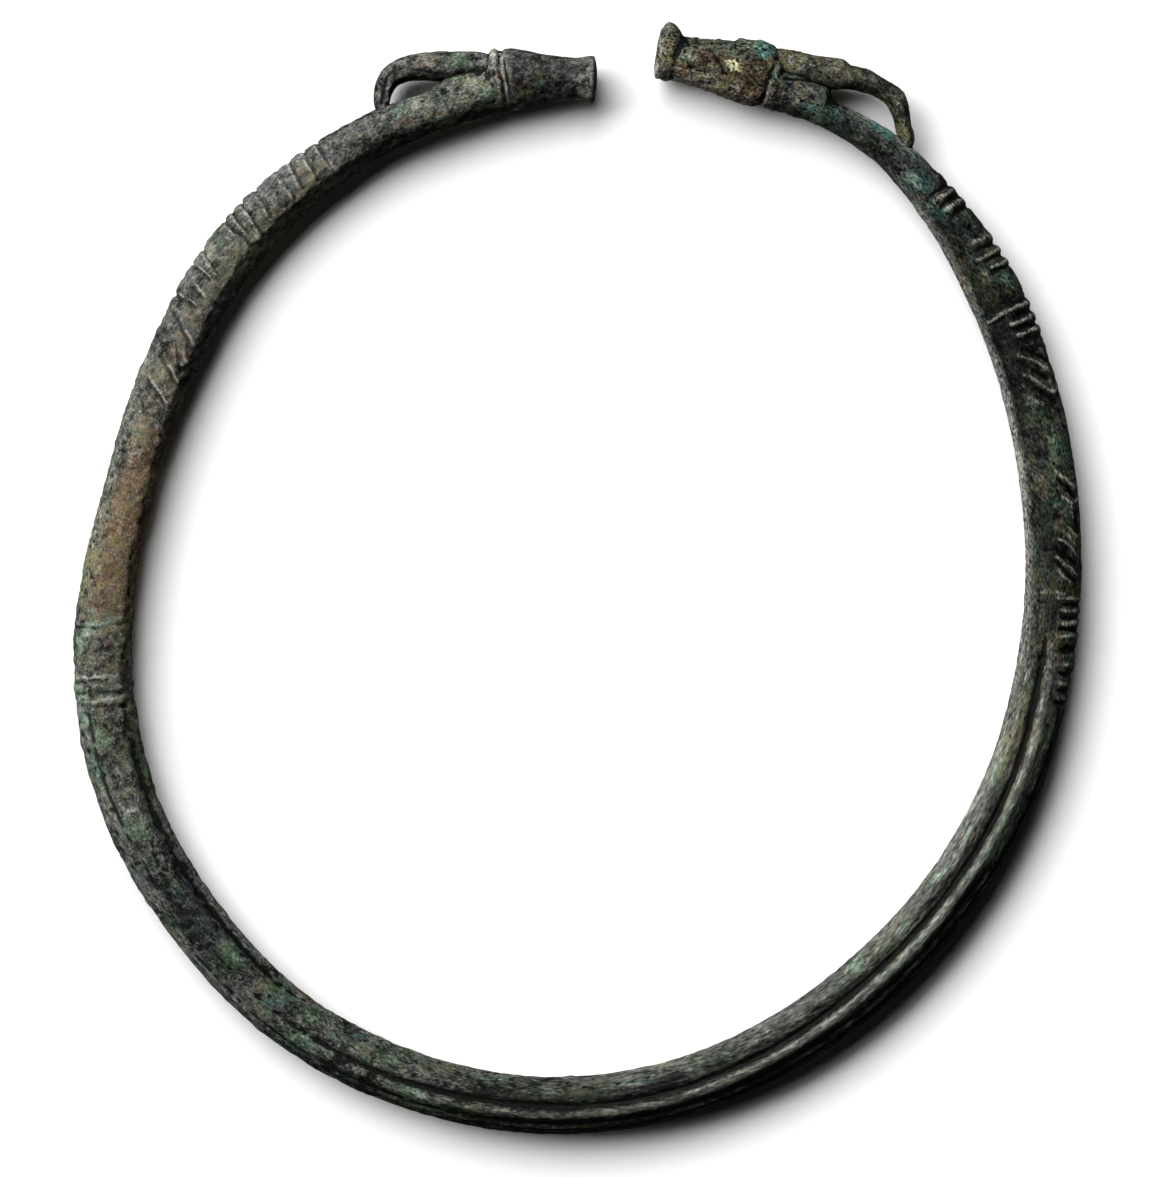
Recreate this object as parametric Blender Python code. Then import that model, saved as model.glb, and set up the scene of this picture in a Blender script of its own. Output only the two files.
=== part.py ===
"""Open bronze bracelet whose two ends are horned animal heads facing each other across the gap.

The hoop, the heads and the horns are one casting, so there is one object. It lies flat: the
hoop's plane is XY, the gap between the muzzles is at +Y, and the underside rests at Z = 0.

Every station is a slice through the body along a line from the middle of the hoop: its angle,
the distance to the outer edge and the distance to the inner edge. Angles run anticlockwise from
+X, so the left muzzle is at 88 degrees, the body goes down the left side, round the bottom
(270), up the right side (360), and ends at the right muzzle at 442 degrees.
"""

import math

import bmesh
import bpy
from mathutils import Vector

# ---------------------------------------------------------------- driving sizes
U = 0.08e-3  # the layout unit, 0.08 mm: lengths below are in these units unless they say mm
CENTRE = (2.1, -13.6)  # where the slices meet, from the middle of the finished outline
MID_Z = 29.0  # height of the hoop's middle plane above the surface it lies on

COLUMNS = 12  # strips across the upper half of a slice, and the same below
PLAIN_STEP = 3.6  # degrees between slices where the hoop is plain
RIB_DEPTH = 3.2  # depth of the grooves cut across the hoop
FLUTE_DEPTH = 4.6  # depth of the main groove along the lower half of the hoop
FLAT_HALF = 31.0  # half depth of the lower hoop below MID_Z before its underside is worn flat

# ---------------------------------------------------------------- outline: angle, outer, inner
LEFT_HEAD = [
    (88.60, 536.5, 489.0),  # flared rim of the muzzle
    (89.30, 536.2, 489.8),
    (90.30, 534.8, 492.4),  # waist behind the rim
    (92.50, 536.7, 491.3),
    (95.20, 542.4, 488.7),
    (96.80, 546.8, 486.6),
    (97.95, 548.4, 486.4),  # brow edge
    (98.25, 543.0, 486.6),  # crease between brow and collar
    (98.60, 549.4, 486.6),
    (99.00, 550.2, 486.5),  # collar ring
    (99.40, 548.6, 486.6),
    (99.85, 538.0, 486.8),
    (100.60, 534.0, 485.6),  # neck, joined to the horn above it
    (102.80, 532.0, 483.4),
    (104.60, 530.0, 482.4),
    (105.50, 523.0, 482.2),  # where the opening under the horn begins
    (108.50, 522.8, 480.8),
]
HOOP = [
    (113.0, 524.0, 479.5),
    (120.0, 520.5, 472.5),
    (130.0, 516.5, 463.5),
    (140.0, 507.0, 452.8),
    (148.0, 497.4, 443.8),
    (158.0, 489.8, 438.8),
    (167.0, 487.5, 438.2),
    (176.0, 495.5, 442.2),
    (185.0, 507.0, 449.5),
    (196.0, 520.0, 460.0),
    (208.0, 528.6, 470.5),
    (222.0, 535.4, 477.0),
    (238.0, 544.4, 487.2),
    (252.0, 545.2, 487.8),
    (265.0, 543.4, 486.2),
    (278.0, 537.4, 479.0),
    (292.0, 525.8, 467.4),
    (306.0, 514.2, 455.4),
    (320.0, 505.3, 448.2),
    (336.0, 501.0, 443.8),
    (350.0, 498.4, 442.2),
    (363.0, 502.0, 446.0),
    (376.0, 512.0, 454.4),
    (388.0, 526.2, 470.0),
    (397.0, 538.8, 484.8),
    (405.0, 546.6, 501.4),
    (411.0, 552.4, 513.4),
]
RIGHT_HEAD = [
    (415.5, 555.8, 521.6),
    (418.5, 555.0, 523.4),
    (421.5, 553.4, 524.2),
    (423.1, 555.0, 523.8),  # where the opening under the horn ends
    (424.0, 566.0, 523.2),
    (426.6, 567.0, 520.6),  # neck, joined to the horn above it
    (428.7, 564.0, 518.6),
    (429.35, 572.0, 519.4),
    (429.60, 574.5, 520.2),  # crease at the back of the head
    (430.05, 580.2, 517.0),
    (431.20, 581.6, 514.8),
    (432.80, 578.4, 514.4),
    (434.20, 573.4, 515.6),
    (436.00, 568.6, 517.4),
    (437.80, 566.0, 519.0),
    (439.30, 566.8, 520.0),
    (439.90, 572.0, 519.6),
    (440.30, 575.2, 519.0),
    (440.85, 576.4, 518.4),  # turned-up lip of the muzzle
    (441.30, 574.6, 518.4),
    (441.60, 570.0, 519.0),
]
# Half thickness up and down from the middle plane, by angle.
THICKNESS = [
    (88.6, 25.0), (90.4, 22.2), (92.5, 23.6), (95.0, 27.0), (97.6, 29.6), (98.25, 28.0), (99.0, 30.6), (99.9, 27.0),
    (103.0, 25.4), (113.0, 25.0), (140.0, 26.0), (180.0, 27.6), (200.0, 29.0), (235.0, 29.5), (270.0, 29.0),
    (310.0, 28.4), (345.0, 28.0), (365.0, 27.4), (385.0, 26.8), (400.0, 25.4), (411.0, 23.2), (418.0, 21.6),
    (424.0, 22.4), (428.6, 25.4), (429.6, 28.2), (430.3, 30.4), (432.4, 30.6), (435.0, 28.6), (438.0, 26.2),
    (439.4, 25.6), (440.8, 27.6), (441.6, 25.4),
]
# Each muzzle's end is a low dome: angle, and how far its slice has shrunk towards its middle.
LEFT_DOME = [(88.36, 0.88), (88.19, 0.58)]
LEFT_TIP = 88.09
RIGHT_DOME = [(441.78, 0.88), (441.90, 0.58)]
RIGHT_TIP = 441.96

# ---------------------------------------------------------------- carving
# Grooves across the outer side of the hoop, in groups.
GROOVE_GROUPS = [
    [120.6, 122.3, 124.0, 125.8],
    [129.3, 131.2, 132.6, 134.3],
    [137.7, 139.8, 141.6, 143.6],
    [184.0],
    [190.6, 192.0],
    [348.2, 350.2, 352.1, 354.0, 355.3, 356.7, 358.2],
    [390.8, 392.3],
    [397.2, 398.7, 400.2, 401.7],
    [405.1, 406.8, 408.2],
]
GROOVE_HALF = 0.62  # degrees from a groove's bottom to its edge
# Where the main flute lies round the slice (0 is outermost, 90 the top), by angle.
FLUTE_LINE = [(120, 90), (192, 56), (200, 56), (210, 66), (218, 74), (229, 85), (252, 86), (264, 91), (285, 96), (345, 97), (362, 100), (400, 92), (440, 90)]
FLUTES = (193.4, 362.0)  # the fluted length of the hoop
# The soft edge between the upper band and the inner wall, round the slice.
INNER_EDGE = [(88, 122), (113, 118), (140, 118), (165, 134), (185, 134), (200, 120), (300, 128), (360, 130), (411, 124), (441, 122)]

# ---------------------------------------------------------------- horns: outer edge point, inner edge point, half thickness
LEFT_HORN = [
    ((-82, 534), (-82, 517), 15),
    ((-94, 539), (-94, 515), 18),
    ((-117, 541), (-117, 513), 18.5),
    ((-140, 540.5), (-140, 510.5), 18.5),
    ((-160, 539), (-159, 511.5), 18),
    ((-176, 535.5), (-172, 510), 17.5),
    ((-190, 529), (-181, 507), 17),
    ((-200, 519), (-186, 501), 16),
    ((-205, 506), (-188.5, 496), 15),
    ((-206.5, 492), (-190, 489.5), 14),
    ((-204, 480), (-191, 480), 13),
    ((-199, 469), (-190, 471), 11),
]
RIGHT_HORN = [
    ((190, 536), (188, 518), 15),
    ((203, 541.5), (202, 511), 18),
    ((221, 539), (220, 509), 18.5),
    ((240, 535.5), (238, 505), 18.5),
    ((258, 533.5), (254, 502.5), 18),
    ((271, 527.5), (267, 503), 17.5),
    ((289, 522), (282, 500), 17),
    ((306, 512), (296, 495), 16),
    ((322, 501), (306, 487.5), 15.5),
    ((328.5, 487), (312, 476), 15),
    ((330.5, 471), (315, 465), 14),
    ((334, 454), (319, 450), 13.5),
    ((331, 440), (321, 437), 11),
]
HORN_SIDES = 12


# ---------------------------------------------------------------- helpers
def curve(table, column, x):
    """The value at x on a smooth curve through a table's column, which never swings past its neighbours."""
    xs = [row[0] for row in table]
    ys = [row[column] for row in table]
    if x <= xs[0]:
        return ys[0]
    if x >= xs[-1]:
        return ys[-1]
    i = max(k for k in range(len(xs) - 1) if xs[k] <= x)

    def rise(k):
        return (ys[k + 1] - ys[k]) / (xs[k + 1] - xs[k])

    def slope(k):
        if k == 0:
            return rise(0)
        if k == len(xs) - 1:
            return rise(k - 1)
        before, after = rise(k - 1), rise(k)
        h0, h1 = xs[k] - xs[k - 1], xs[k + 1] - xs[k]
        mean = (before * h1 + after * h0) / (h0 + h1)
        if h0 < 6 and h1 < 6 and before * after <= 0:
            return 0.0
        limit = 3 * min(abs(before), abs(after)) if before * after > 0 else abs(mean)
        return max(-limit, min(limit, mean))

    h = xs[i + 1] - xs[i]
    t = (x - xs[i]) / h
    return (
        ys[i] * (1 + 2 * t) * (1 - t) ** 2
        + slope(i) * h * t * (1 - t) ** 2
        + ys[i + 1] * t * t * (3 - 2 * t)
        - slope(i + 1) * h * t * t * (1 - t)
    )


OUTLINE = LEFT_HEAD + HOOP + RIGHT_HEAD


def ramp(x, low, high):
    """0 at low, 1 at high, eased between them."""
    t = max(0.0, min(1.0, (x - low) / (high - low)))
    return t * t * (3 - 2 * t)


def fluting(angle):
    """How much of the fluting there is at this angle round the hoop."""
    return ramp(angle, FLUTES[0] - 0.5, FLUTES[0] + 0.5) * (1 - ramp(angle, FLUTES[1] - 4, FLUTES[1] + 3))


def columns(angle):
    """(degrees round the upper half of the slice, depth of the fluting there) for each point from outside to inside."""
    line = curve(FLUTE_LINE, 1, angle)
    edge = curve(INNER_EDGE, 1, angle)
    amount = fluting(angle)
    outer = amount * (0.5 + 0.5 * ramp(angle, 215, 255))
    outside = [(0.0, 0.0), (0.27, 1.3), (0.49, 0.0), (0.65, 2.4), (0.81, 0.0)]
    points = [(line * share, depth * outer) for share, depth in outside]
    points.append((line, FLUTE_DEPTH * amount))
    for share, depth in [(0.24, 0.9), (0.5, 0.0), (0.76, 0.0), (1.0, 0.0)]:
        points.append((line + (edge - line) * share, depth * amount))
    for share in (0.4, 0.72, 1.0):
        points.append((edge + (180 - edge) * share, 0.0))
    return points


def groove_depth(angle, around):
    """Depth of the grooves across the hoop: full on the outer side, fading out before the inner wall."""
    nearest = min(abs(angle - middle) for group in GROOVE_GROUPS for middle in group)
    if nearest > 0.05:
        return 0.0
    stop = 100 if angle < 300 else 86
    return RIB_DEPTH * (1 - ramp(abs(around), stop, stop + 26))


def slice_points(angle, shrink=1.0):
    """The closed ring of points of one slice, from the outermost point over the top to the inside and back below."""
    outer, inner = curve(OUTLINE, 1, angle), curve(OUTLINE, 2, angle)
    middle, half = (outer + inner) / 2, (outer - inner) / 2
    top = curve(THICKNESS, 1, angle)
    worn = ramp(angle, 196, 204) * (1 - ramp(angle, 334, 344))
    below = top + (FLAT_HALF - top) * worn
    edge = curve(INNER_EDGE, 1, angle)
    out = (math.cos(math.radians(angle)), math.sin(math.radians(angle)))

    def point(around, depth, up):
        turn = math.radians(around)
        tall = top if up else below
        along, height = half * math.cos(turn), tall * math.sin(turn)
        if around > edge:  # the inner wall is nearly flat between its edge and its innermost line
            share = (around - edge) / (180 - edge)
            edge_turn = math.radians(edge)
            flat_along = half * math.cos(edge_turn) * (1 - share) - half * share
            flat_height = tall * math.sin(edge_turn) * (1 - share)
            along, height = 0.4 * along + 0.6 * flat_along, 0.4 * height + 0.6 * flat_height
        cut = max(depth, groove_depth(angle, around))
        if not up:
            cut *= 1 - ramp(around, 48, 62)  # the underside is plainer
            height = -height
        size = math.hypot(along, height) or 1.0
        along, height = along * (1 - cut / size) * shrink, height * (1 - cut / size) * shrink
        reach = middle + along
        return Vector(((CENTRE[0] + reach * out[0]) * U, (CENTRE[1] + reach * out[1]) * U, max(0.0, MID_Z + height) * U))

    around = columns(angle)
    upper = [point(turn, depth, True) for turn, depth in around]
    lower = [point(turn, depth, False) for turn, depth in around[1:-1]]
    return upper + lower[::-1]


def slice_angles():
    """The angles of all slices: one at each groove's bottom and each edge, the heads' own stations, and even steps between."""
    special = set()
    for group in GROOVE_GROUPS:
        for i, middle in enumerate(group):
            special.add(middle)
            before = (group[i - 1] + middle) / 2 if i else middle - GROOVE_HALF
            special.add(before)
        special.add(group[-1] + GROOVE_HALF)
    special |= {row[0] for row in LEFT_HEAD + RIGHT_HEAD}
    special |= {FLUTES[0] - 0.5, FLUTES[0] + 0.5}
    special = sorted(special)
    angles = list(special)
    for low, high in zip(special, special[1:]):
        steps = max(1, round((high - low) / PLAIN_STEP))
        angles += [low + (high - low) * k / steps for k in range(1, steps)]
    return sorted(angles)


def loft(mesh, rings, first, last):
    """Joins rings of points into one closed skin; first and last are end points, or None for a flat end."""
    loops = [[mesh.verts.new(p) for p in ring] for ring in rings]
    count = len(loops[0])
    for a, b in zip(loops, loops[1:]):
        for k in range(count):
            mesh.faces.new((a[k], a[(k + 1) % count], b[(k + 1) % count], b[k]))
    for loop, tip, turned in ((loops[0], first, True), (loops[-1], last, False)):
        if tip is None:
            mesh.faces.new(loop[::-1] if turned else loop)
            continue
        end = mesh.verts.new(tip)
        for k in range(count):
            pair = (loop[k], loop[(k + 1) % count])
            mesh.faces.new((pair[1], pair[0], end) if turned else (pair[0], pair[1], end))
    bmesh.ops.recalc_face_normals(mesh, faces=mesh.faces)


def make_object(name, rings, first=None, last=None):
    shape = bmesh.new()
    loft(shape, rings, first, last)
    data = bpy.data.meshes.new(name)
    shape.to_mesh(data)
    shape.free()
    data.shade_smooth()
    data.set_sharp_from_angle(angle=math.radians(38))
    obj = bpy.data.objects.new(name, data)
    bpy.context.scene.collection.objects.link(obj)
    return obj


def tip_of(angle):
    reach = (curve(OUTLINE, 1, angle) + curve(OUTLINE, 2, angle)) / 2
    turn = math.radians(angle)
    return Vector(((CENTRE[0] + reach * math.cos(turn)) * U, (CENTRE[1] + reach * math.sin(turn)) * U, MID_Z * U))


def horn_rings(stations):
    rings = []
    for outer, inner, thick in stations:
        outer, inner = Vector(outer), Vector(inner)
        middle, reach = (outer + inner) / 2, (outer - inner) / 2
        ring = []
        for k in range(HORN_SIDES):
            turn = 2 * math.pi * k / HORN_SIDES
            flat = middle + reach * math.cos(turn)
            ring.append(Vector(((CENTRE[0] + flat.x) * U, (CENTRE[1] + flat.y) * U, (MID_Z + thick * math.sin(turn)) * U)))
        rings.append(ring)
    return rings


def bronze():
    material = bpy.data.materials.new("bronze")
    material.use_nodes = True
    shader = material.node_tree.nodes["Principled BSDF"]
    shader.inputs["Base Color"].default_value = (0.045, 0.045, 0.038, 1.0)
    shader.inputs["Metallic"].default_value = 0.35
    shader.inputs["Roughness"].default_value = 0.55
    return material


def main():
    for obj in list(bpy.data.objects):
        bpy.data.objects.remove(obj, do_unlink=True)

    rings = [slice_points(angle, shrink) for angle, shrink in reversed(LEFT_DOME)]
    rings += [slice_points(angle) for angle in slice_angles()]
    rings += [slice_points(angle, shrink) for angle, shrink in RIGHT_DOME]
    bracelet = make_object("bracelet", rings, tip_of(LEFT_TIP), tip_of(RIGHT_TIP))
    bracelet.data.materials.append(bronze())

    for name, stations in (("left_horn_guide", LEFT_HORN), ("right_horn_guide", RIGHT_HORN)):
        horn = make_object(name, horn_rings(stations))
        horn.data.materials.append(bracelet.data.materials[0])
        horn.hide_render = True
        horn.display_type = "WIRE"
        join = bracelet.modifiers.new(name, "BOOLEAN")
        join.operation = "UNION"
        join.solver = "EXACT"
        join.object = horn


main()
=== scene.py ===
"""The open bronze bracelet with its two horned animal heads: carving, wear, corrosion and patina.

The bracelet is one casting and one mesh here. Its slices are the same as the solid's: each lies
along a line from the middle of the hoop, at an angle that runs anticlockwise from +X (left muzzle
88 degrees, left side 180, bottom 270, right side 360, right muzzle 442). On those slices the
carving is drawn in relief: grooves and ribs across the hoop, the flutes along its lower half, the
collars and creases of the heads, then lumps, crust and pits. Colours follow the same map.
"""

import math

import bmesh
import bpy
import numpy as np
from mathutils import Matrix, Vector, kdtree


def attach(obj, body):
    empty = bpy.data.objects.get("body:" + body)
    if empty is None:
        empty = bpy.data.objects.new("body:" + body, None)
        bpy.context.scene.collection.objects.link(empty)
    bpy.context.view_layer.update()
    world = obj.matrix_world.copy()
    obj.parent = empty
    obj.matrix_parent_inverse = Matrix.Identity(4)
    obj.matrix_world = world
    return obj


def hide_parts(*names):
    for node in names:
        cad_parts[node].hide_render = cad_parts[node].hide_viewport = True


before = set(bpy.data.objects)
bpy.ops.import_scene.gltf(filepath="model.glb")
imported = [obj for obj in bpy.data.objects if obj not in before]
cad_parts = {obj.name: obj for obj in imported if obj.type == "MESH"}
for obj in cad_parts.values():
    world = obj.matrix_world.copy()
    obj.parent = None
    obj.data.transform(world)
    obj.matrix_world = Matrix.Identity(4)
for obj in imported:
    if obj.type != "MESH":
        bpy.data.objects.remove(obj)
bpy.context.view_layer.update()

# ---------------------------------------------------------------- layout, as in the solid
U = 0.08e-3  # the layout unit, 0.08 mm
CENTRE = (2.1, -13.6)  # where the slices meet, from the middle of the outline
MID_Z = 29.0  # height of the hoop's middle plane
FLAT_HALF = 31.0  # half depth below MID_Z of the worn lower hoop
VIEW_CENTRE = (580.0, 592.0)  # where the slices meet in the photograph's frame

LEFT_HEAD = [
    (88.60, 536.5, 489.0),
    (89.30, 536.2, 489.8),
    (90.30, 534.8, 492.4),
    (92.50, 536.7, 491.3),
    (95.20, 542.4, 488.7),
    (96.80, 546.8, 486.6),
    (97.95, 548.4, 486.4),
    (98.22, 546.4, 486.6),
    (98.60, 549.6, 486.6),
    (99.00, 550.6, 486.5),
    (99.45, 549.6, 486.6),
    (99.90, 541.0, 486.8),
    (100.60, 534.0, 485.6),
    (102.80, 532.0, 483.4),
    (104.60, 530.0, 482.4),
    (105.50, 523.0, 482.2),
    (108.50, 522.8, 480.8),
]
HOOP = [
    (113.0, 524.0, 479.5),
    (120.0, 520.5, 472.5),
    (130.0, 516.5, 463.5),
    (140.0, 507.0, 452.8),
    (148.0, 497.4, 443.8),
    (158.0, 489.8, 438.8),
    (167.0, 487.5, 438.2),
    (176.0, 495.5, 442.2),
    (185.0, 507.0, 449.5),
    (196.0, 520.0, 460.0),
    (208.0, 528.6, 470.5),
    (222.0, 535.4, 477.0),
    (238.0, 544.4, 487.2),
    (252.0, 545.2, 487.8),
    (265.0, 543.4, 486.2),
    (278.0, 537.4, 479.0),
    (292.0, 525.8, 467.4),
    (306.0, 514.2, 455.4),
    (320.0, 505.3, 448.2),
    (336.0, 501.0, 443.8),
    (350.0, 498.4, 442.2),
    (363.0, 502.0, 446.0),
    (376.0, 512.0, 454.4),
    (388.0, 526.2, 470.0),
    (397.0, 538.8, 484.8),
    (405.0, 546.6, 501.4),
    (411.0, 552.4, 513.4),
]
RIGHT_HEAD = [
    (415.5, 555.8, 521.6),
    (418.5, 555.0, 523.4),
    (421.5, 553.4, 524.2),
    (423.1, 555.0, 523.8),
    (424.0, 566.0, 523.2),
    (426.6, 567.0, 520.6),
    (428.7, 564.0, 518.6),
    (429.30, 571.5, 519.4),
    (429.60, 573.8, 520.2),
    (430.00, 577.4, 517.2),
    (430.50, 580.2, 515.8),
    (431.20, 581.6, 514.8),
    (432.80, 578.4, 514.4),
    (434.20, 573.4, 515.6),
    (436.00, 568.6, 517.4),
    (437.80, 566.0, 519.0),
    (439.30, 566.8, 520.0),
    (439.90, 572.0, 519.6),
    (440.30, 575.2, 519.0),
    (440.85, 576.4, 518.4),
    (441.30, 574.6, 518.4),
    (441.60, 570.0, 519.0),
]
OUTLINE = LEFT_HEAD + HOOP + RIGHT_HEAD
THICKNESS = [
    (88.6, 25.0), (90.4, 22.2), (92.5, 23.6), (95.0, 27.0), (97.6, 29.6), (98.25, 28.0), (99.0, 30.6), (99.9, 27.0),
    (103.0, 25.4), (113.0, 25.0), (140.0, 26.0), (180.0, 27.6), (200.0, 29.0), (235.0, 29.5), (270.0, 29.0),
    (310.0, 28.4), (345.0, 28.0), (365.0, 27.4), (385.0, 26.8), (400.0, 25.4), (411.0, 23.2), (418.0, 21.6),
    (424.0, 22.4), (428.6, 25.4), (429.6, 28.2), (430.3, 30.4), (432.4, 30.6), (435.0, 28.6), (438.0, 26.2),
    (439.4, 25.6), (440.8, 27.6), (441.6, 25.4),
]
FLUTE_LINE = [(120, 90), (192, 56), (200, 56), (210, 66), (218, 74), (229, 85), (246, 86.5), (253, 89), (260, 93.5), (270, 92.8), (285, 94), (294, 96), (306, 99), (318, 98.5), (341, 98.6), (346, 101.5), (354, 103), (362, 103), (400, 92), (440, 90)]
INNER_EDGE = [(88, 122), (113, 118), (140, 118), (165, 134), (185, 134), (200, 120), (300, 128), (360, 130), (411, 124), (441, 122)]
LEFT_RIM, LEFT_TIP = 88.60, 88.09  # the muzzle's last slice, and the middle of its low domed end
RIGHT_RIM, RIGHT_TIP = 441.60, 441.96

LEFT_HORN = [
    ((-82, 534), (-82, 517), 15),
    ((-94, 539), (-94, 515), 18),
    ((-117, 541), (-117, 513), 18.5),
    ((-140, 540.5), (-140, 510.5), 18.5),
    ((-160, 539), (-159, 511.5), 18),
    ((-176, 535.5), (-172, 510), 17.5),
    ((-190, 529), (-181, 507), 17),
    ((-200, 519), (-186, 501), 16),
    ((-205, 506), (-188.5, 496), 15),
    ((-206.5, 492), (-190, 489.5), 14),
    ((-204, 480), (-191, 480), 13),
    ((-199, 469), (-190, 471), 11),
]
# the casting is thick where the left horn runs into the neck
LEFT_WEB = [
    ((-147, 504.5), (-148, 497), 6.5),
    ((-141, 508.5), (-143, 495), 11.5),
    ((-134, 514), (-136, 493.5), 15.5),
    ((-125, 519), (-127, 493.5), 18),
    ((-115, 522), (-116, 494), 19),
    ((-104, 524), (-105, 496), 19.5),
    ((-93, 526), (-94, 498), 19.5),
    ((-85, 527), (-85, 500), 17),
]
RIGHT_HORN = [
    ((188, 544), (187, 518), 16),
    ((203, 543.5), (202, 511), 18),
    ((221, 540), (220, 509), 18.5),
    ((240, 535.5), (238, 505), 18.5),
    ((258, 533.5), (254, 502.5), 18),
    ((271, 527.5), (267, 503), 17.5),
    ((289, 522), (282, 500), 17),
    ((306, 512), (296, 495), 16),
    ((322, 501), (306, 487.5), 15.5),
    ((328.5, 487), (312, 476), 15),
    ((330.5, 471), (315, 465), 14),
    ((334, 454), (319, 450), 13.5),
    ((331, 440), (321, 437), 11),
]

# ---------------------------------------------------------------- mesh density
# Degrees between slices, by stretch of the hoop: fine where it is carved.
STRETCHES = [
    (88.60, 100.4, 0.17),
    (100.4, 113.0, 0.24),
    (113.0, 119.0, 0.33),
    (119.0, 156.0, 0.225),
    (156.0, 183.0, 0.36),
    (183.0, 195.5, 0.22),
    (195.5, 346.0, 0.50),
    (346.0, 410.5, 0.22),
    (410.5, 426.5, 0.36),
    (426.5, 441.60, 0.17),
]
TOP_STEPS = (22, 10, 9)  # strips from the outermost line to the main flute, to the inner edge, to the innermost line
UNDER_STEPS = 32
HORN_RINGS, HORN_SIDES = 108, 40

# ---------------------------------------------------------------- carving
# Notches that scallop the outer edge, in runs; between two notches the edge swells a little.
SCALLOPS = [
    (118.3, 120.4, 122.15, 124.05, 125.8, 128.95, 131.0, 132.45, 133.85, 137.7, 139.75, 141.5, 143.75, 146.0),
    (181.0, 184.05, 186.6, 189.4, 192.2, 194.0),
    (388.6, 390.6, 392.1, 394.2, 396.9, 398.3, 399.95, 402.0, 405.1, 406.7, 408.2, 409.6),
]
SWELL = (1.1, 0.5, 1.2)

# Grooves across the left side: angle at the outer edge, slant in degrees over its length, length inwards, depth.
LEFT_GROOVES = [
    (120.40, 0.0, 33, 3.6),
    (122.15, 0.3, 33, 3.0),
    (124.05, 0.4, 31, 2.2),
    (125.80, 0.1, 35, 2.4),
    (128.95, 0.4, 33, 3.6),
    (131.00, 0.5, 36, 3.2),
    (132.45, 0.3, 27, 2.6),
    (133.80, -0.4, 38, 3.2),
    (137.70, 1.0, 30, 2.6),
    (139.75, 0.3, 26, 2.8),
    (143.80, -0.4, 27, 3.6),
    (184.05, 0.2, 29, 1.2),
]
# Strokes in the photograph's frame: ((x, y) points), half width, height at its start, height at its end.
LEFT_STROKES = [
    ([(196, 286), (208, 298)], 1.4, 0.9, 0.9),
    ([(194, 289), (206, 301)], 1.4, -1.2, -1.2),
    ([(173, 312), (182, 327), (194, 350)], 1.9, -1.8, -2.6),
    ([(187, 333), (196, 350)], 1.7, 1.4, 1.2),
    ([(161, 356), (169, 370), (178, 385)], 1.7, -2.2, -2.4),
    ([(170, 367), (179, 383)], 1.5, 1.3, 1.3),
    ([(151, 377), (159, 389), (168, 403)], 1.3, 1.1, 1.1),
    ([(149, 380), (157, 392), (166, 406)], 1.4, -1.1, -1.1),
    ([(184, 354), (188, 363)], 1.5, 1.2, 1.2),
    ([(177, 342), (179, 355), (182, 372)], 1.5, -0.8, -1.8),
    ([(306, 157), (318, 180)], 1.3, 0.8, 0.8),
    ([(286, 185), (294, 197)], 1.4, 1.0, 1.0),
    ([(321, 151), (334, 170)], 1.5, 0.8, 1.2),
    # the carved band where the fluting starts
    ([(79, 677), (106, 677)], 1.5, 0.9, 1.3),
    ([(77, 682), (116, 683)], 2.2, -0.9, -0.6),
    ([(76, 693), (120, 692)], 2.6, -0.8, -1.3),
    ([(84, 701), (100, 701), (118, 697)], 1.3, 0.7, 1.2),
    ([(84, 706), (104, 706), (126, 706)], 2.1, -0.5, -1.4),
    ([(86, 635), (100, 634)], 2.5, 0.8, 0.8),
    ([(134, 858), (147, 868), (158, 888)], 2.0, -0.4, -1.5),
    ([(128, 812), (138, 809)], 2.6, 0.9, 0.9),
]
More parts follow.
